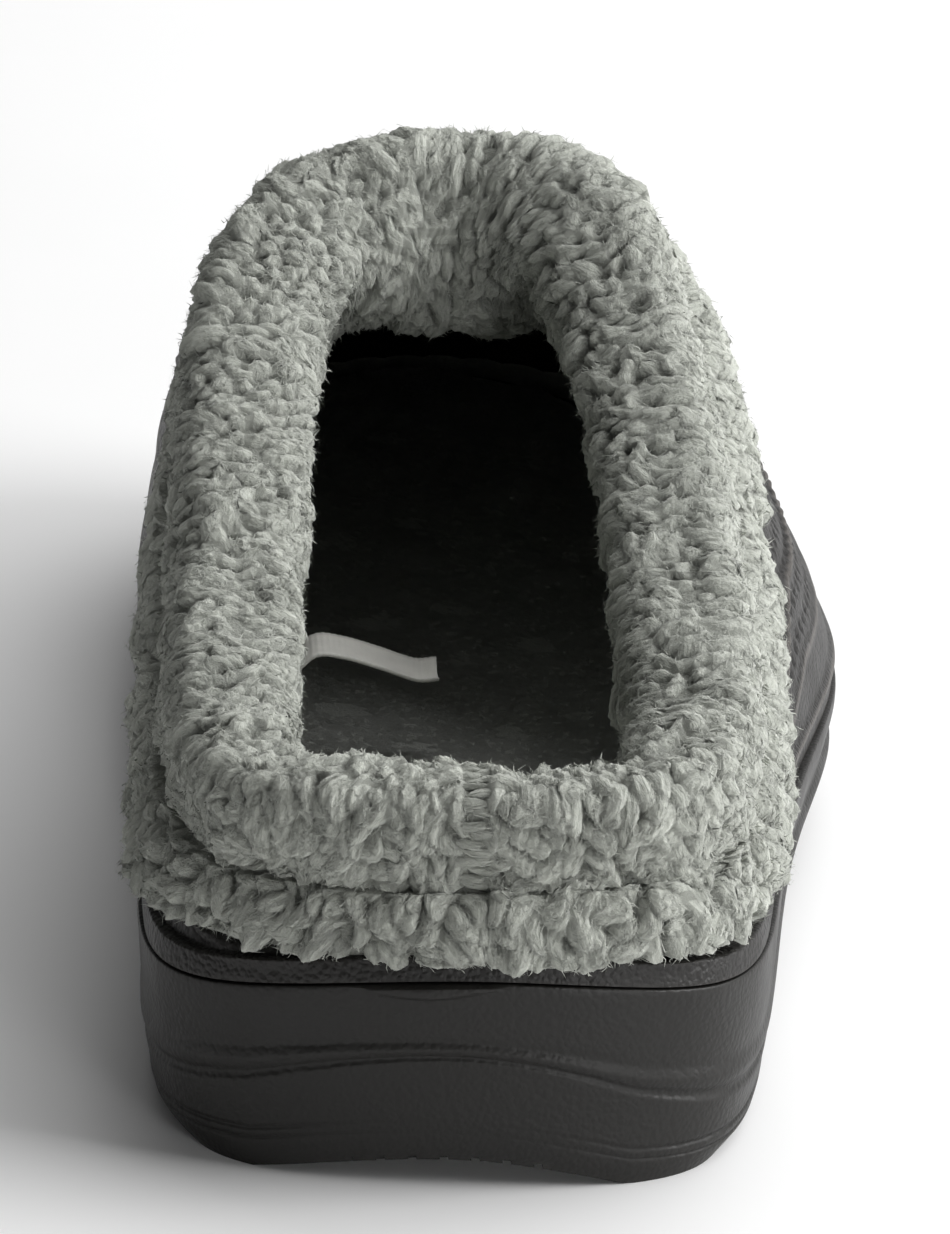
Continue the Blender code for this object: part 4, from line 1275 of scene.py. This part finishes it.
def lobe_list(surface, row, column, points, fleece, chance, shares):
    """Where each lobe lies and which way, by shares of length and width and how far it follows the fall."""
    count = len(points)
    length, width, follow = shares
    normal = unit(surface.at(surface.normals, row, column))
    rise = surface.at(surface.rise, row, column)
    rise = unit(rise - normal * np.sum(rise * normal, axis=1, keepdims=True))
    side = np.cross(normal, rise)
    centres = surface.scatter(CLUMP_SPACING, chance)[2]
    swirls = CLUMP_SWIRL * chance.standard_normal(len(centres)).clip(-2.2, 2.2)
    sizes = np.exp(CLUMP_UNEVEN * chance.standard_normal(len(centres)).clip(-2, 2))
    batches = np.array_split(points, 16)
    clump = [((part[:, None] - centres[None]) ** 2).sum(axis=2).argmin(axis=1) for part in batches]
    clump = np.concatenate(clump)
    inward = centres[clump] - points
    inward -= normal * np.sum(inward * normal, axis=1, keepdims=True)
    far = np.linalg.norm(inward, axis=1) / (CLUMP_REACH * CLUMP_SPACING)
    fall = np.tanh((row / BACKING_PARTS - CROWN_ROW) * 0.9)
    turn = swirls[clump] + LOBE_ASTRAY * chance.standard_normal(count)
    lean = rise * (np.sign(fall) * np.cos(turn) + fall * follow * 0.6)[:, None]
    lean = lean + side * np.sin(turn)[:, None] + CLUMP_PULL * unit(inward)
    lean = unit(lean - normal * np.sum(lean * normal, axis=1, keepdims=True))
    tall = 1.08 - 0.22 * np.minimum(far, 1.2) ** 2 + 0.12 * chance.standard_normal(count).clip(-2, 2)
    wide = np.exp(LOBE_UNEVEN * chance.standard_normal(count).clip(-2, 2))
    return {
        "root": points,
        "normal": normal,
        "lean": lean,
        "length": fleece.curl_length * length * tall * sizes[clump],
        "width": fleece.curl_width * width * wide * sizes[clump],
        "height": tall * sizes[clump],
        "bow": LOBE_BOW * chance.standard_normal(count).clip(-2, 2),
        "phase": chance.random(count) * 2 * math.pi,
        "twist": chance.choice((-1, 1), count) * (1.4 + 2.0 * chance.random(count)),
        # painted shade: lobes are darker towards their clump's edge, where the gaps are, with a random
        # spread
        "tone": 1.04 - 0.16 * np.minimum(far, 1.2) ** 2 + 0.08 * chance.standard_normal(count).clip(-2, 2),
        "number": np.arange(count) * 1.0,
    }


def raise_coat(surface, lobes, ease, shade):
    """The surface raised into overlapping lobes of wool, with what its shading and its strands need."""
    points = surface.grid.reshape(-1, 3)
    tree = KDTree(len(lobes["root"]))
    for n, root in enumerate(lobes["root"].tolist()):
        tree.insert(root, n)
    tree.balance()
    near = np.array([[found[1] for found in tree.find_n(point, LOBES_NEAR)] for point in points.tolist()])
    side = np.cross(lobes["normal"], lobes["lean"])
    away = points[:, None] - lobes["root"][near]
    along = np.sum(away * lobes["lean"][near], axis=2) / (lobes["length"][near] / 2)
    across = np.sum(away * side[near], axis=2) / (lobes["width"][near] / 2)
    across = across + lobes["bow"][near] * (along * along - 0.3)
    reach = np.abs(along) ** 3 + across * across
    dome = np.sqrt(1 - np.minimum(reach, LOBE_RIM))
    slope = 0.5 / math.sqrt(1 - LOBE_RIM)
    dome = dome - slope * np.maximum(reach - LOBE_RIM, 0) + LOBE_TILT * np.clip(along, -1.2, 1.2)
    depth = dome * lobes["height"][near]
    best = depth.argmax(axis=1)
    each = np.arange(len(points))
    owner = near[each, best]
    below = (depth - depth.max(axis=1, keepdims=True)) / LOBE_MERGE
    depth = depth[each, best] + np.log(np.exp(below).sum(axis=1)) * LOBE_MERGE
    share = depth / lobes["height"][owner]
    here, beside = along[each, best], across[each, best]
    turn = lobes["phase"][owner]
    cycles = math.pi * lobes["width"][owner] / STRAND_PITCH
    twist = np.sin(cycles * beside + lobes["twist"][owner] * here + 1.3 * np.sin(2.6 * here + turn) + turn)
    wavy = np.sin(3.1 * here + 2.2 * beside + 2 * turn)
    depth = depth + STRAND_RELIEF * twist + 0.6 * STRAND_RELIEF * wavy
    depth = depth + LUMP_RELIEF * drift(points, LUMP_SIZE, 1) + NAP_RELIEF * drift(points, NAP_SIZE, 3)
    lift = depth * ease.ravel()
    normals = surface.normals.reshape(-1, 3)
    heading = lobes["lean"][owner]
    drawn = LOBE_OVERHANG * np.maximum(lift, 0) * share
    made = points + normals * lift[:, None] + heading * drawn[:, None]
    made = made.reshape(surface.grid.shape)
    raised = Surface(made, surface.closed).normals
    shaded = unit(raised * (1 - COAT_SOFTNESS) + surface.normals * COAT_SOFTNESS)
    unit_share = np.clip(share, 0, 1)
    # painted shade: darker low between the lobes and in the strands' troughs, times the shade given by the
    # caller
    tone = (0.10 + 0.36 * unit_share + 0.08 * twist) * lobes["tone"][owner] * shade.ravel()
    fibre = np.stack([beside * 1.3, here * 0.5, np.zeros(len(points))], axis=1)
    fibre = fibre + lobes["number"][owner][:, None] * FIBRE_APART
    return {"grid": made, "normals": shaded, "tone": tone, "fibre": fibre, "heading": heading}


def lay_strands(surface, coat, span, count, thickness, chance):
    """Fine flat wavy strands that lie along the coat's lobes, a few of them with their tips free."""
    rows, columns = surface.grid.shape[:2]
    row = span[0] + (span[1] - span[0]) * chance.random(count)
    column = columns * chance.random(count)
    across = np.roll(surface.grid, -1, axis=1) - surface.grid
    up = np.gradient(surface.grid, axis=0)
    index = np.clip(row.round().astype(int), 0, rows - 1) * columns + column.astype(int) % columns
    heading = coat["heading"][index]
    normal = surface.normals.reshape(-1, 3)[index]
    astray = STRAND_ASTRAY * chance.standard_normal(count)[:, None]
    heading = heading * np.cos(astray) + np.cross(normal, heading) * np.sin(astray)
    side = np.cross(normal, heading)
    across, up = across.reshape(-1, 3)[index], up.reshape(-1, 3)[index]
    phase = 6.3 * chance.random(count)
    sway = 0.6 + 0.9 * chance.random(count)
    stride = (0.45 + 0.40 * chance.random(count)) * MM
    free = chance.random(count) ** 2.4
    points, normals, tones = [], [], []
    for k, shape in enumerate(STRAND_SHAPE):
        swing = sway * np.sin(1.9 * k + phase)
        way = unit(heading + side * swing[:, None])
        spot = surface.at(coat["grid"], row, column)
        facing = unit(surface.at(coat["normals"], row, column))
        rise = (k / (len(STRAND_SHAPE) - 1)) ** 2
        lift = (0.03 + 0.08 * chance.random(count)) * MM + free * STRAND_FREE * rise
        flat = unit(np.cross(way, facing)) * (thickness / 2 * shape)
        spot = spot + facing * lift[:, None]
        points.append(np.stack([spot - flat, spot + flat], axis=1))
        normals.append(np.stack([facing, facing], axis=1))
        tone = surface.at(coat["tone"].reshape(rows, columns, 1), row, column)[:, 0]
        tone = tone * (1.0 + 0.5 * chance.random(count))
        tones.append(np.stack([tone, tone], axis=1))
        row = row + np.sum(way * up, axis=1) / np.sum(up * up, axis=1) * stride
        column = column + np.sum(way * across, axis=1) / np.sum(across * across, axis=1) * stride
        row = np.clip(row, 0.5, rows - 1.5)
    points, normals = (np.concatenate(field, axis=1).reshape(-1, 3) for field in (points, normals))
    tones = np.concatenate(tones, axis=1).ravel()
    return points, strand_faces(count), tones, strand_fibres(count, chance), normals


def coat_part(coat, first, last, closed):
    """Points, triangles, tones, fibres and normals of the coat from one row to another."""
    columns = coat["grid"].shape[1]
    span = slice(first * columns, (last + 1) * columns)
    quads = ring_faces(last - first + 1, columns)
    if not closed:
        quads = quads[quads[:, 1] % columns != 0]
    triangles = np.concatenate([quads[:, [0, 1, 2]], quads[:, [0, 2, 3]]])
    points, normals = (coat[k].reshape(-1, 3)[span] for k in ("grid", "normals"))
    a, b, c = (points[triangles[: len(quads), i]] for i in (0, 1, 2))
    if np.sum(np.cross(b - a, c - a) * normals[triangles[: len(quads), 0]]) < 0:
        triangles = triangles[:, ::-1]
    return points, triangles, coat["tone"][span], coat["fibre"][span], normals


def add_wool(name, parts, material):
    """One piece of fleece joined from parts, shaded by their own soft normals."""
    starts = np.cumsum([0] + [len(part[0]) for part in parts[:-1]])
    triangles = np.concatenate([part[1] + start for part, start in zip(parts, starts)])
    points, tones, fibres, normals = (np.concatenate([part[i] for part in parts]) for i in (0, 2, 3, 4))
    mesh = fill_mesh(name, points + SHIFT, triangles, tones, fibres)
    mesh.normals_split_custom_set_from_vertices(normals.tolist())
    return add_piece(name, mesh, material)


class CLOG_OT_fleece(bpy.types.Operator):
    """Builds the fleece cuff: its backing, its coat of wool in four bands and its back seam"""

    bl_idname = "clog.build_fleece"
    bl_label = "Fleece cuff"

    def execute(self, context):
        fleece = context.scene.clog_fleece
        chance = np.random.default_rng(fleece.seed)
        material = fleece_material("fleece_locks", fleece.colour, fleece.root_shade_colour)
        around = even_collar(BACKING_AROUND)
        backing = cuff_backing(around)
        rings = np.concatenate([backing, slot_rings(around)])
        points = rings.reshape(-1, 3) + SHIFT
        faces = outward_faces(points, ring_faces(len(rings), len(around), closed=True))
        # painted shade: the backing takes the darkest tone, as the shade in the gaps between the lobes
        tones = np.zeros(len(points))
        mesh = fill_mesh("fleece_backing", points, faces, tones=tones, fibres=points * FIBRE_SCALE)
        base = add_piece("fleece_backing", mesh, material, ["fleece_cuff"])
        surface = Surface(backing, closed=True)
        lobes = []
        for _, low, high, spacing, length, width, height, follow, _ in FLEECE_BANDS:
            span = (low * BACKING_PARTS, high * BACKING_PARTS)
            places = surface.scatter(fleece.curl_spacing * spacing, chance, span)
            lobes.append(lobe_list(surface, *places, fleece, chance, (length, width, follow)))
            lobes[-1]["height"] *= height * fleece.lobe_height
        lobes = {key: np.concatenate([band[key] for band in lobes]) for key in lobes[0]}
        lobes["number"] = np.arange(len(lobes["number"])) * 1.0
        fine = Surface(cuff_backing(even_collar(COAT_AROUND), COAT_PARTS), closed=True)
        # painted shade: the lining grows darker deep in the shoe
        deep = smooth_step((np.arange(len(fine.grid)) / COAT_PARTS - FLEECE_BANDS[-1][1]) / 2.5)
        shade = np.broadcast_to((1 - LINING_SHADE * deep)[:, None], fine.grid.shape[:2])
        coat = raise_coat(fine, lobes, self.ease(fine), shade)
        for name, low, high, *_, strands in FLEECE_BANDS:
            first, last = (round(row * COAT_PARTS) for row in (low, high))
            laid = lay_strands(fine, coat, (first, last), strands, fleece.strand_width, chance)
            add_wool(name, [coat_part(coat, first, last, True), laid], material)
        self.add_seam(surface, material, fleece, chance)
        return {"FINISHED"}

    def ease(self, surface):
        """Share of the lobes' height that the coat takes: less at edges, crease and seam."""
        rows = np.arange(len(surface.grid))[:, None] / COAT_PARTS
        last = rows[-1, 0]
        edge = smooth_step(rows / 0.5) * smooth_step((last - rows) / 0.5)
        crease = smooth_step((np.abs(rows - CREASE_ROW) - 0.06) / CREASE_HALF_WIDTH)
        beside = np.abs(surface.grid[..., 0] - SEAM_MIDDLE) / SEAM_HALF_WIDTH
        at_seam = (surface.grid[..., 1] < SEAM_REACH) & (rows > SEAM_ROWS[0]) & (rows < SEAM_ROWS[1])
        seam = np.where(at_seam, smooth_step(beside - 0.4), 1.0)
        return edge * crease * (0.15 + 0.85 * seam)

    def add_seam(self, surface, material, fleece, chance):
        """The cuff's back seam: flattened pile drawn across it in close ribs."""
        first, last = (row * BACKING_PARTS for row in SEAM_ROWS)
        lower_roll = surface.grid[2 * BACKING_PARTS]
        at_heel = np.where(lower_roll[:, 1] < 2 * SEAM_REACH)[0]
        column = at_heel[np.abs(lower_roll[at_heel, 0] - SEAM_MIDDLE).argmin()]
        path = surface.grid[:last, column]
        length = run_lengths(path)
        spots = np.arange(length[first] + 0.8 * MM, length[-1], SEAM_PITCH)
        count = len(spots)
        spots = spots + 0.4 * SEAM_PITCH * (chance.random(count) - 0.5)
        row = np.interp(spots, length, np.arange(len(path)))
        place = np.full(count, float(column))
        normal = unit(surface.at(surface.normals, row, place))
        rise = surface.at(surface.rise, row, place)
        side = unit(np.cross(normal, rise)) * np.where(np.arange(count) % 2 == 0, 1, -1)[:, None]
        depth = 1.2 * MM + 0.4 * MM * chance.random(count)
        root = surface.at(surface.grid, row, place) - side * SEAM_HALF_WIDTH * 1.3
        curls = {
            "root": root + normal * (depth - 0.9 * MM)[:, None],
            "normal": normal,
            "lean": unit(side + rise * (0.3 * (chance.random(count) - 0.5))[:, None]),
            "length": SEAM_HALF_WIDTH * (1.9 + 0.9 * chance.random(count)),
            "width": SEAM_PITCH * (1.05 + 0.45 * chance.random(count)),
            "start": np.full(count, math.radians(62)),
            "curl": np.full(count, math.radians(58)),
            "sway": np.full(count, 0.08),
            "phase": chance.random(count) * 2 * math.pi,
            "twist": np.full(count, 0.6),
            "tone": 1.0 + 0.1 * chance.random(count),
            "number": np.arange(count) * 1.0,
        }
        parts = [grow_curls(curls, chance), grow_strands(curls, chance, SEAM_STRANDS, fleece.strand_width)]
        add_wool("back_seam", parts, material)


class CLOG_OT_insole(bpy.types.Operator):
    """Builds the insole and the lining of the foot's room, with their short pile"""

    bl_idname = "clog.build_insole"
    bl_label = "Insole and inner lining"

    def execute(self, context):
        fleece = context.scene.clog_fleece
        material = fleece_material("insole_locks", fleece.insole_colour, times(fleece.insole_colour, 0.6))
        around = np.arange(STATION_COUNT * INSOLE_STEPS) / INSOLE_STEPS
        floor = station("joint", around) - TRAY_DEPTH + GAP
        top = station("joint", around) + INSOLE_RISE - PILE_ROOM
        section = (
            (0.0, floor),
            (0.0, top - INSOLE_ROUND),
            (0.6, top - 0.3 * INSOLE_ROUND),
            (1.0, top),
        )
        rings = []
        for share, height in section:
            inset = np.full_like(around, INSOLE_INSET + share * INSOLE_ROUND)
            rings.append(edge_points(around, inset, height))
        rings = np.array(rings)
        rows, count = rings.shape[:2]
        points = rings.reshape(-1, 3) + SHIFT
        faces = outward_faces(points, capped_faces(rows, count))
        tones = np.full(len(points), 0.25)
        mesh = fill_mesh("insole_pad", points, faces, tones=tones, fibres=points * FIBRE_SCALE)
        mesh.set_sharp_from_angle(angle=math.radians(50))
        pad = add_piece("insole_pad", mesh, material, ["insole"])
        self.add_pile(rings[-1], material, fleece, np.random.default_rng(fleece.seed + 1))
        self.add_lining(material)
        return {"FINISHED"}

    def add_pile(self, edge, material, fleece, chance):
        """The short coat on the insole, inside its top edge."""
        half = len(edge) // 2
        share = np.linspace(0.0, 1.0, BED_ROWS)[:, None, None]
        there = edge[(len(edge) - np.arange(half + 1)) % len(edge)]
        bed = Surface(edge[None, : half + 1] * (1 - share) + there[None] * share, closed=False)
        places = bed.scatter(INSOLE_LOBE_SPACING, chance)
        lobes = lobe_list(bed, *places, fleece, chance, INSOLE_LOBE_SHARES)
        lobes["height"] *= INSOLE_LOBE_HEIGHT
        rows = np.linspace(0, BED_ROWS - 1, INSOLE_COAT[0])
        columns = np.linspace(0, half, INSOLE_COAT[1])
        spots = (grid.ravel() for grid in np.meshgrid(rows, columns, indexing="ij"))
        fine = Surface(bed.at(bed.grid, *spots).reshape(*INSOLE_COAT, 3), closed=False)
        # painted light near the heel, turning to painted shade towards the toe
        dirt_and_shade = smooth_step((fine.grid[..., 1] - PAINTED_SHADE_START) / PAINTED_SHADE_RUN)
        shade = PAINTED_LIGHT_AND_SHADE[0] + (PAINTED_LIGHT_AND_SHADE[1] - PAINTED_LIGHT_AND_SHADE[0]) * dirt_and_shade
        coat = raise_coat(fine, lobes, np.ones_like(shade), shade)
        add_wool("insole_pile", [coat_part(coat, 0, len(rows) - 1, False)], material)

    def add_lining(self, material):
        """A thin fleece skin on the wall's inner face, from the cuff's lining down to the insole."""
        around = even_collar(LINING_AROUND)
        _, lengths = rib_lengths(around)
        start = station("lining", around) * 0.9
        shares = np.linspace(0, 1, 12)[:, None]
        drops = start + (lengths[:, -1] - start) * shares
        wall, normal, _ = wall_face(around, 0, drops)
        skin = wall - normal * LINING_SKIN
        rings = np.concatenate([skin, (wall - normal * GAP)[::-1]])
        points = rings.reshape(-1, 3) + SHIFT
        faces = outward_faces(points, ring_faces(len(rings), len(around), closed=True))
        tones = np.full(len(points), 0.3)
        mesh = fill_mesh("inner_lining", points, faces, tones=tones, fibres=points * FIBRE_SCALE)
        add_piece("inner_lining", mesh, material)


class CLOG_OT_ribbon(bpy.types.Operator):
    """Builds the blank woven ribbon that is sewn into the lining"""

    bl_idname = "clog.build_ribbon"
    bl_label = "Label ribbon"

    def execute(self, context):
        u = np.array([RIBBON_STATION])
        point, normal, _ = wall_face(u, 0, (station("lining", u) * RIBBON_DEPTH)[None])
        inward = unit(-normal[0] * np.array([1, 1, 0]))[0]
        seam = (point[0] - normal[0] * RIBBON_SEAM)[0]
        along = np.cross(inward, (0, 0, 1))
        arch = finer(np.array(RIBBON_ARCH) * MM, 16)
        middle = seam + arch[:, :1] * inward + arch[:, 1:] * np.array([0, 0, 1.0])
        ahead = unit(np.gradient(middle, axis=0))
        above = unit(np.cross(along, ahead))
        above *= np.where(above[:, 2:] < 0, -1, 1)
        share = np.linspace(-0.5, 0.5, 9)
        length = run_lengths(middle)
        rib = RIBBON_RIB_RELIEF * np.sin(2 * math.pi * length / RIBBON_RIB_PITCH)
        curl = RIBBON_CURL * (2 * share) ** 2 * (length / length[-1])[:, None] ** 2
        flat = middle[:, None] + along * (share * RIBBON_WIDTH)[None, :, None]
        lifts = [sign * (RIBBON_THICKNESS / 2 + rib)[:, None] + curl for sign in (1, -1)]
        over, under = (flat + above[:, None] * lift[..., None] for lift in lifts)
        rings = np.concatenate([over, under[:, ::-1]], axis=1)
        rows, count = rings.shape[:2]
        points = rings.reshape(-1, 3) + SHIFT
        i = np.arange(count // 2 - 1)
        end = np.stack([i, i + 1, count - i - 2, count - i - 1], axis=-1)
        faces = np.concatenate([ring_faces(rows, count), end[:, ::-1], end + (rows - 1) * count])
        mesh = fill_mesh("woven_ribbon", points, outward_faces(points - points.mean(axis=0), faces))
        material = ribbon_material("ribbon_weave", context.scene.clog_ribbon.colour)
        add_piece("woven_ribbon", mesh, material, ["label_ribbon"])
        return {"FINISHED"}


# Stage


class CLOG_OT_stage(bpy.types.Operator):
    """Sets the pale floor, the soft studio light and the camera"""

    bl_idname = "clog.build_stage"
    bl_label = "Stage"

    def execute(self, context):
        scene = context.scene
        stage = scene.clog_stage
        corners = FLOOR_REACH * np.array(((-1, -1, 0), (1, -1, 0), (1, 1, 0), (-1, 1, 0)))
        mesh = fill_mesh("pale_floor", corners, np.array([[0, 1, 2, 3]]))
        material, tree, shader = blank_material("pale_floor")
        place = add_node(tree, "ShaderNodeTexCoord").outputs["Object"]
        cloud = add_node(tree, "ShaderNodeTexNoise", Vector=place, Scale=14.0, Detail=3.0).outputs["Fac"]
        shades = ((0.3, times(stage.floor_colour, 0.99)), (0.7, stage.floor_colour))
        tree.links.new(shade_ramp(tree, cloud, shades), shader.inputs["Base Color"])
        shader.inputs["Roughness"].default_value = 0.9
        shader.inputs["Specular IOR Level"].default_value = 0.1
        mesh.materials.append(material)
        floor = bpy.data.objects.new("pale_floor", mesh)
        scene.collection.objects.link(floor)
        sky = bpy.data.worlds.new("studio_white")
        sky.use_nodes = True
        sky.node_tree.nodes["Background"].inputs["Color"].default_value = (1, 1, 1, 1)
        sky.node_tree.nodes["Background"].inputs["Strength"].default_value = stage.sky_strength
        scene.world = sky
        powers = (stage.overhead_power, stage.side_power, stage.front_power)
        for (name, place, size), power in zip(LIGHT_PANELS, powers):
            self.add_panel_light(name, place, size, power)
        scene.view_settings.view_transform = "Standard"
        lens = bpy.data.cameras.new("camera")
        lens.sensor_width = SENSOR_LONG_SIDE
        lens.lens = stage.focal_length
        lens.clip_end = 50.0
        camera = bpy.data.objects.new("camera", lens)
        camera.location = CAMERA_PLACE
        level = Vector((0, math.cos(CAMERA_TILT), -math.sin(CAMERA_TILT)))
        swing = level.rotation_difference(Vector(CAMERA_AIM) - camera.location)
        camera.rotation_euler = (swing @ level.to_track_quat("-Z", "Y")).to_euler()
        scene.collection.objects.link(camera)
        scene.camera = camera
        return {"FINISHED"}

    @staticmethod
    def add_panel_light(name, place, size, power):
        """A square panel of soft light that faces the shoe."""
        light = bpy.data.lights.new(name, "AREA")
        light.size = size
        light.energy = power
        lamp = bpy.data.objects.new(name, light)
        lamp.location = place
        lamp.rotation_euler = (Vector(LIGHT_AIM) - Vector(place)).to_track_quat("-Z", "Y").to_euler()
        lamp.visible_camera = False
        bpy.context.scene.collection.objects.link(lamp)


# Settings and panel


class ClogFoam(bpy.types.PropertyGroup):
    """Finish of the moulded foam."""

    sole_colour: FloatVectorProperty(
        name="Sole colour", description="Colour of the sole's foam",
        subtype="COLOR", default=(0.0104, 0.0098, 0.0088), min=0, max=1,
    )
    upper_colour: FloatVectorProperty(
        name="Upper colour", description="Colour of the upper's foam",
        subtype="COLOR", default=(0.0118, 0.0109, 0.0100), min=0, max=1,
    )
    roughness: FloatProperty(
        name="Roughness", description="Roughness of the foam's skin",
        subtype="FACTOR", default=0.46, min=0, max=1,
    )
    sheen: FloatProperty(
        name="Gloss", description="Strength of the skin's reflections",
        subtype="FACTOR", default=0.36, min=0, max=1,
    )
    grain_size: FloatProperty(
        name="Grain size", description="Width of one grain of the skin",
        unit="LENGTH", default=0.0009,
    )
    grain_depth: FloatProperty(
        name="Grain depth", description="Depth of the skin's grain",
        unit="LENGTH", default=0.00030,
    )


class ClogFleece(bpy.types.PropertyGroup):
    """Pile and colour of the fleece."""

    colour: FloatVectorProperty(
        name="Colour", description="Colour of the fleece's locks",
        subtype="COLOR", default=(0.465, 0.480, 0.435), min=0, max=1,
    )
    # painted shade: the darker colour that the locks take at their roots and between them
    root_shade_colour: FloatVectorProperty(
        name="Root colour", description="Colour at the locks' roots",
        subtype="COLOR", default=(0.30, 0.31, 0.281), min=0, max=1,
    )
    insole_colour: FloatVectorProperty(
        name="Insole colour", description="Colour of the insole's pile",
        subtype="COLOR", default=(0.70, 0.715, 0.665), min=0, max=1,
    )
    lobe_height: FloatProperty(
        name="Lobe height", description="Height of a lobe of wool",
        unit="LENGTH", default=0.0019,
    )
    curl_length: FloatProperty(
        name="Curl length", description="Length of a curl along its bend",
        unit="LENGTH", default=0.0050,
    )
    curl_width: FloatProperty(
        name="Curl width", description="Width of a curl",
        unit="LENGTH", default=0.0031,
    )
    curl_spacing: FloatProperty(
        name="Curl spacing", description="Least distance between curls",
        unit="LENGTH", default=0.0021,
    )
    strand_width: FloatProperty(
        name="Strand width", description="Width of a strand of a curl",
        unit="LENGTH", default=0.00019,
    )
    seed: IntProperty(name="Seed", description="Start of the fleece's chance", default=7)


class ClogRibbon(bpy.types.PropertyGroup):
    """Finish of the label ribbon."""

    colour: FloatVectorProperty(
        name="Colour", description="Colour of the woven ribbon",
        subtype="COLOR", default=(0.82, 0.81, 0.76), min=0, max=1,
    )


class ClogStage(bpy.types.PropertyGroup):
    """Floor, light and lens of the studio."""

    floor_colour: FloatVectorProperty(
        name="Floor colour", description="Colour of the floor",
        subtype="COLOR", default=(0.9, 0.9, 0.9), min=0, max=1,
    )
    sky_strength: FloatProperty(
        name="Room light", description="Strength of the white room's light",
        default=0.09, min=0,
    )
    overhead_power: FloatProperty(
        name="Overhead power", description="Power of the panel overhead",
        unit="POWER", default=24.0,
    )
    side_power: FloatProperty(
        name="Side power", description="Power of the panel at the outer side",
        unit="POWER", default=23.0,
    )
    front_power: FloatProperty(
        name="Front power", description="Power of the low panel behind the heel",
        unit="POWER", default=8.0,
    )
    focal_length: FloatProperty(
        name="Focal length", description="Focal length of the lens",
        unit="CAMERA", default=299.0,
    )


class CLOG_PT_panel(bpy.types.Panel):
    """Lists the clog's pieces and their settings"""

    bl_idname = "CLOG_PT_panel"
    bl_label = "Fleece-Lined Clog"
    bl_space_type = "VIEW_3D"
    bl_region_type = "UI"
    bl_category = "Clog"

    def draw(self, context):
        for operator in OPERATORS:
            self.layout.operator(operator.bl_idname)
        for name, group in SETTINGS.items():
            box = self.layout.box()
            settings = getattr(context.scene, name)
            for field in group.__annotations__:
                box.prop(settings, field)


SETTINGS = {
    "clog_foam": ClogFoam,
    "clog_fleece": ClogFleece,
    "clog_ribbon": ClogRibbon,
    "clog_stage": ClogStage,
}
OPERATORS = (CLOG_OT_stage, CLOG_OT_sole, CLOG_OT_upper, CLOG_OT_insole, CLOG_OT_ribbon, CLOG_OT_fleece)


def register():
    """Registers the settings, operators and panel."""
    for made in (*SETTINGS.values(), *OPERATORS, CLOG_PT_panel):
        bpy.utils.register_class(made)
    for name, group in SETTINGS.items():
        setattr(bpy.types.Scene, name, PointerProperty(type=group))


def unregister():
    """Takes the settings, operators and panel out again."""
    for name in SETTINGS:
        delattr(bpy.types.Scene, name)
    for made in reversed((*SETTINGS.values(), *OPERATORS, CLOG_PT_panel)):
        bpy.utils.unregister_class(made)


def main():
    """Builds the whole dressed clog."""
    for leftover in [o for o in bpy.data.objects if o.name in ("Cube", "Light", "Camera")]:
        bpy.data.objects.remove(leftover)
    register()
    for operator in OPERATORS:
        group, name = operator.bl_idname.split(".")
        getattr(getattr(bpy.ops, group), name)()


if __name__ == "__main__":
    main()
